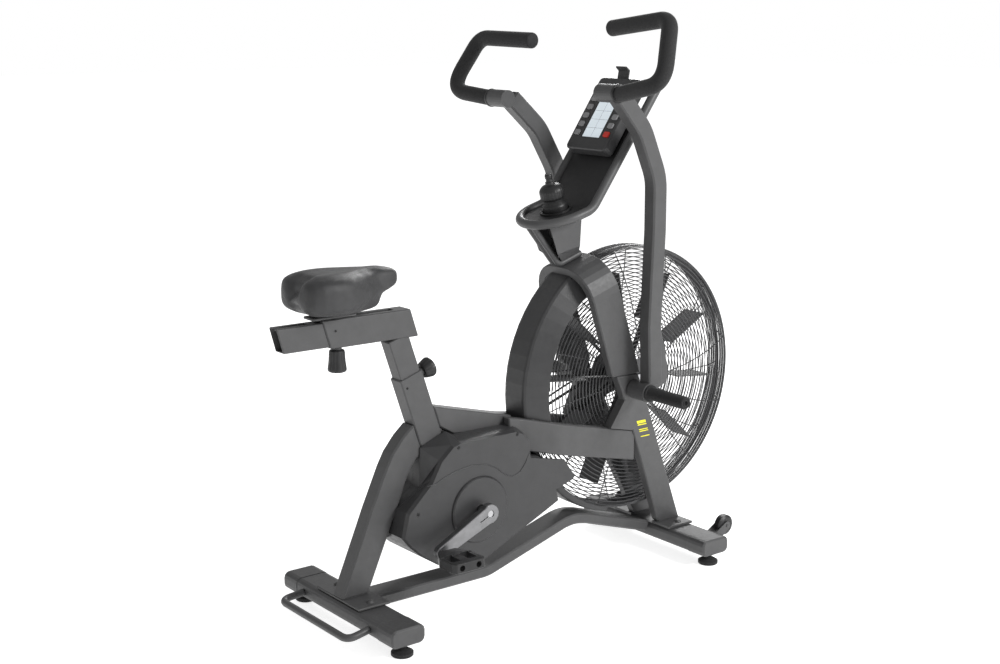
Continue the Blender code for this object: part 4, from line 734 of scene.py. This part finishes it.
def make_console_loop():
    """Smooth version of the bent tube that carries the tray, with its twin-rod strut."""
    turn = []
    for step in range(17):
        angle = math.radians(90 + 90 * step / 16)
        turn.append(on_ring(LOOP_HALF * math.cos(angle), LOOP_HALF * math.sin(angle), 0.0))
    side = fillet([(at(0.8850), LOOP_HALF, 1.2000), (at(0.6786), LOOP_HALF, 0.9156), turn[0]], 0.07, 10)
    half = [tuple(point) for point in side[:-1]] + turn
    shape = Shape().wire(half + [(x, -y, z) for x, y, z in half[-2::-1]], LOOP_TUBE, 24)
    line = fillet([(at(0.5562), 0, 0.8824), (at(0.6420), 0, 0.7770), (at(0.7086), 0, 0.7991)], 0.02, 8)
    for y in (-0.0095, 0.0095):
        shape.wire([(point.x, y, point.z) for point in line], STRUT_ROD, 20)
    web = [(point.x, point.z + 0.0025) for point in line]
    web += [(point.x, point.z - 0.0025) for point in line[::-1]]
    shape.block(web, -0.0090, 0.0090)
    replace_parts(shape.made("console_tube", "frame_paint", "frame"), "console_loop")


def make_carry_handle():
    half = [(at(0) - 0.0003, -0.140, 0.048), (at(-0.057), -0.145, 0.040), (at(-0.057), 0.0, 0.040)]
    near = [tuple(point) for point in fillet(half, 0.030, 10)]
    path = near[:-1] + [(x, -y, z) for x, y, z in near[-2::-1]]
    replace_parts(Shape().wire(path, 0.0085, 24).made("carry_rod", "frame_paint", "frame"),
                "rear_carry_handle")


def make_bottle():
    """Squeeze bottle with a shoulder in the cup's rim, a neck, a ribbed cap and a pull spout."""
    profile = [(0.0100, -0.0556), (0.0205, -0.0558), (0.0228, -0.0550), (0.0236, -0.0520),
               (0.0255, -0.0340), (0.0280, -0.0120), (0.0296, 0.0020), (0.0303, 0.0060),
               (0.0304, 0.0160), (0.0298, 0.0192), (0.0276, 0.0220), (0.0262, 0.0236),
               (0.0258, 0.0280), (0.0262, 0.0334), (0.0284, 0.0352), (0.0297, 0.0374),
               (0.0300, 0.0400), (0.0300, 0.0530), (0.0296, 0.0560), (0.0270, 0.0610),
               (0.0220, 0.0658), (0.0160, 0.0684), (0.0120, 0.0698), (0.0110, 0.0712),
               (0.0110, 0.0752), (0.0102, 0.0764), (0.0088, 0.0772), (0.0080, 0.0786),
               (0.0080, 0.0840), (0.0090, 0.0856), (0.0090, 0.0900), (0.0082, 0.0940),
               (0.0066, 0.0958), (0.0030, 0.0960)]
    shape = Shape().turned(profile, on_ring(0, 0, 0), RING_AXIS, 96, 24, 0.0008, (0.0376, 0.0560))
    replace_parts(shape.made("bottle_shell", "black_plastic", "water_bottle"), "bottle")


# ---- small fittings ------------------------------------------------------------------------------


def socket_screw(shape, centre, axis, radius):
    """Add a low button-head screw with a hexagonal recess."""
    turn = Vector((0, 0, 1)).rotation_difference(Vector(axis)).to_matrix()
    rows = [(radius, -0.0008, 32), (radius, 0.0006, 32), (radius * 0.86, 0.0014, 32),
            (radius * 0.60, 0.0018, 32)]
    rings = [[Vector(centre) + turn @ Vector((r * math.cos(math.tau * i / n),
                                              r * math.sin(math.tau * i / n), z))
              for i in range(n)] for r, z, n in rows]
    for depth in (0.0018, 0.0002):
        ring = []
        for i in range(32):
            angle = math.tau * i / 32
            wave = math.cos(math.radians(30)) / math.cos(math.radians(math.degrees(angle) % 60 - 30))
            ring.append(Vector(centre) + turn @ Vector((radius * 0.42 * wave * math.cos(angle),
                                                        radius * 0.42 * wave * math.sin(angle), depth)))
        rings.append(ring)
    shape.skin(rings)


def leg_face(z):
    """Outer face of the right front leg: it leans out up to the pivot, then stands upright."""
    return -min(0.057 + 0.122 * (z - 0.071), 0.105)


def leg_back(z):
    return at(0.948 - 0.460 * (z - 0.071))


STRIPES = ((0.3740, 0.3665), (0.3640, 0.3610), (0.3505, 0.3480), (0.3455, 0.3430), (0.3310, 0.3285))
STRIPE_START, STRIPE_END = 0.26, 0.66  # shares of the leg's depth


def make_stripes():
    """Plain bars on the outer faces of the front legs."""
    for side, name in ((-1, "right"), (1, "left")):
        shape = Shape()
        for high, low in STRIPES:
            corners = [(leg_back(z) + 0.073 * share, z) for z, share in (
                (low, STRIPE_START), (low, STRIPE_END), (high, STRIPE_END), (high, STRIPE_START))]
            rings = [[(x, -side * (leg_face(z) + inset), z) for x, z in corners]
                     for inset in (0.0002, -0.0004)]
            shape.skin(rings)
        shape.made("leg_stripes_" + name, STRIPE_YELLOW, "frame", "button_plastic")


PANEL_EDGE = [(0.505, 0.377), (0.503, 0.350), (0.488, 0.322), (0.471, 0.303), (0.452, 0.2965),
              (0.430, 0.305),
              (0.402, 0.327), (0.375, 0.341), (0.330, 0.3465), (0.285, 0.341), (0.248, 0.330),
              (0.227, 0.320),
              (0.204, 0.320), (0.181, 0.327)]
CASE_HALF = 0.0755
GROOVE_RADIUS = 0.0796
CASE_SCREWS = ((0.293, 0.3950), (0.464, 0.3980), (0.179, 0.258))
SCREW_RADIUS, SMALL_SCREW_RADIUS = 0.0036, 0.0026


def make_case_details():
    """Raised panel edge, a black ring painted as the shade in the groove round the disc, and screws of the
    crank case.
    """
    for side, name in ((-1, "right"), (1, "left")):
        path = fillet([(at(x), side * (CASE_HALF + 0.0002), z) for x, z in PANEL_EDGE[1:-1]], 0.02, 4)
        shape = Shape().wire(path, [0.0004] + [0.0013] * (len(path) - 2) + [0.0004], 10)
        shape.made("case_panel_edge_" + name, "cover_plastic", "frame")
        # Painted shade: a thin black ring on the case face stands in for the shadow inside the groove round
        # the disc.
        ring = [(CRANK[0] + GROOVE_RADIUS * math.cos(math.tau * step / 96), side * CASE_HALF,
                 CRANK[1] + GROOVE_RADIUS * math.sin(math.tau * step / 96)) for step in range(96)]
        Shape().wire(ring, 0.0009, 8, True).made("case_disc_groove_" + name, "black_plastic", "frame")
        screws = Shape()
        for x, z in CASE_SCREWS:
            socket_screw(screws, (at(x), side * (CASE_HALF - 0.0014), z), (0, side, 0), SCREW_RADIUS)
        screws.made("case_screws_" + name, "black_plastic", "frame")


def make_frame_screws():
    """Screws on the seat rail and on the seat sleeve."""
    seat = Shape()
    for side in (-1, 1):
        socket_screw(seat, (at(0.0050), side * 0.0221, 0.696), (0, side, 0), SMALL_SCREW_RADIUS)
    seat.made("rail_screws", "black_plastic", "seat")
    sleeve = Shape()
    for side in (-1, 1):
        socket_screw(sleeve, (at(0.190), side * 0.0221, 0.540), (0, side, 0), SMALL_SCREW_RADIUS)
    sleeve.made("sleeve_screws", "black_plastic", "frame")


# ---- console -------------------------------------------------------------------------------------


CONSOLE_FOOT = (at(0.7260), 1.0490)
CONSOLE_SLOPE = math.radians(55.5)


def on_console(along, across, out):
    """Point on the console: up its slope, to the rider's left, and out of its face."""
    x = CONSOLE_FOOT[0] + along * math.cos(CONSOLE_SLOPE) - out * math.sin(CONSOLE_SLOPE)
    z = CONSOLE_FOOT[1] + along * math.sin(CONSOLE_SLOPE) + out * math.cos(CONSOLE_SLOPE)
    return Vector((x, across, z))


def console_plate(shape, along, across, out):
    corners = [(along[0], across[0]), (along[1], across[0]), (along[1], across[1]), (along[0], across[1])]
    shape.skin([[on_console(a, y, level) for a, y in corners] for level in out])


def make_console_details():
    """Dividing lines of the display and the raised frame round it."""
    lines = Shape()
    for along in (0.060, 0.084, 0.108, 0.132, 0.154):
        console_plate(lines, (along - 0.00025, along + 0.00025), (-0.0295, 0.0295), (-0.0004, -0.0001))
    console_plate(lines, (0.0360, 0.1720), (-0.00025, 0.00025), (-0.0004, -0.0001))
    lines.made("display_lines", DARK_INK, "frame", "screen_glass")
    border = Shape()
    path = []
    for along, across in ((0.0325, -0.0325), (0.1755, -0.0325), (0.1755, 0.0325), (0.0325, 0.0325)):
        path.append(on_console(along, across, 0.0))
    border.wire(path, 0.0011, 8, closed=True)
    border.made("display_border", "black_plastic", "frame")


# ---- stage ---------------------------------------------------------------------------------------


FLOOR_GLOW = 0.75  # keeps the floor as pale as the surroundings
FLOOR_REACH, FLOOR_DROP = 30.0, 0.0002


def studio_material(name, colour):
    finish = Finish(name, colour, 0.85)
    finish.shaded(0.006, 2.0)
    finish.shader.inputs["Emission Color"].default_value = (1.0, 1.0, 1.0, 1.0)
    finish.shader.inputs["Emission Strength"].default_value = FLOOR_GLOW
    return finish.done()


def make_floor():
    data = bpy.data.meshes.new("studio_floor")
    corners = [(x * FLOOR_REACH, y * FLOOR_REACH, 0) for x, y in ((-1, -1), (1, -1), (1, 1), (-1, 1))]
    data.from_pydata(corners, [], [(0, 1, 2, 3)])
    floor = bpy.data.objects.new("studio_floor", data)
    floor.location.z = -FLOOR_DROP
    bpy.context.scene.collection.objects.link(floor)
    data.materials.append(studio_material("floor_white", (0.80, 0.80, 0.80)))


def add_light(name, location, target, size, power, colour=(1.0, 1.0, 1.0)):
    data = bpy.data.lights.new(name, "AREA")
    data.shape = "DISK"
    data.size = size
    data.energy = power
    data.color = colour
    light = bpy.data.objects.new(name, data)
    light.location = location
    light.rotation_euler = (Vector(target) - Vector(location)).to_track_quat("-Z", "Y").to_euler()
    bpy.context.scene.collection.objects.link(light)


CAMERA_PLACE = (-2.22566, -2.8129, 1.3741)
CAMERA_WAY = (0.5965, 0.7761, -0.2050)
CAMERA_LENS = 55.14
AMBIENT = 0.48  # brightness of the surroundings as the bike sees them


def make_studio():
    scene = bpy.context.scene
    world = bpy.data.worlds.new("studio")
    world.use_nodes = True
    backdrop = world.node_tree.nodes["Background"]
    backdrop.inputs["Color"].default_value = (1.0, 1.0, 1.0, 1.0)
    path = world.node_tree.nodes.new("ShaderNodeLightPath")
    level = world.node_tree.nodes.new("ShaderNodeMapRange")
    level.inputs["To Min"].default_value = AMBIENT
    level.inputs["To Max"].default_value = 1.0
    world.node_tree.links.new(path.outputs["Is Camera Ray"], level.inputs["Value"])
    world.node_tree.links.new(level.outputs["Result"], backdrop.inputs["Strength"])
    scene.world = world
    scene.view_settings.view_transform = "Standard"
    middle = (0.0, 0.0, 0.6)
    add_light("key", (1.6, -3.4, 2.6), middle, 1.4, 150.0)
    add_light("rim", (2.6, 2.2, 2.4), middle, 1.2, 60.0)
    data = bpy.data.cameras.new("camera")
    data.lens = CAMERA_LENS
    data.sensor_width = 36.0
    camera = bpy.data.objects.new("camera", data)
    camera.location = CAMERA_PLACE
    camera.rotation_euler = Vector(CAMERA_WAY).to_track_quat("-Z", "Y").to_euler()
    scene.collection.objects.link(camera)
    scene.camera = camera


def main():
    paint_frame()
    guard_wires(-1, 4.0)
    guard_wires(1, 19.0)
    make_saddle()
    make_grips()
    make_pegs()
    make_knobs()
    make_console_loop()
    make_carry_handle()
    make_bottle()
    make_stripes()
    make_case_details()
    make_frame_screws()
    make_console_details()
    make_floor()
    make_studio()


main()
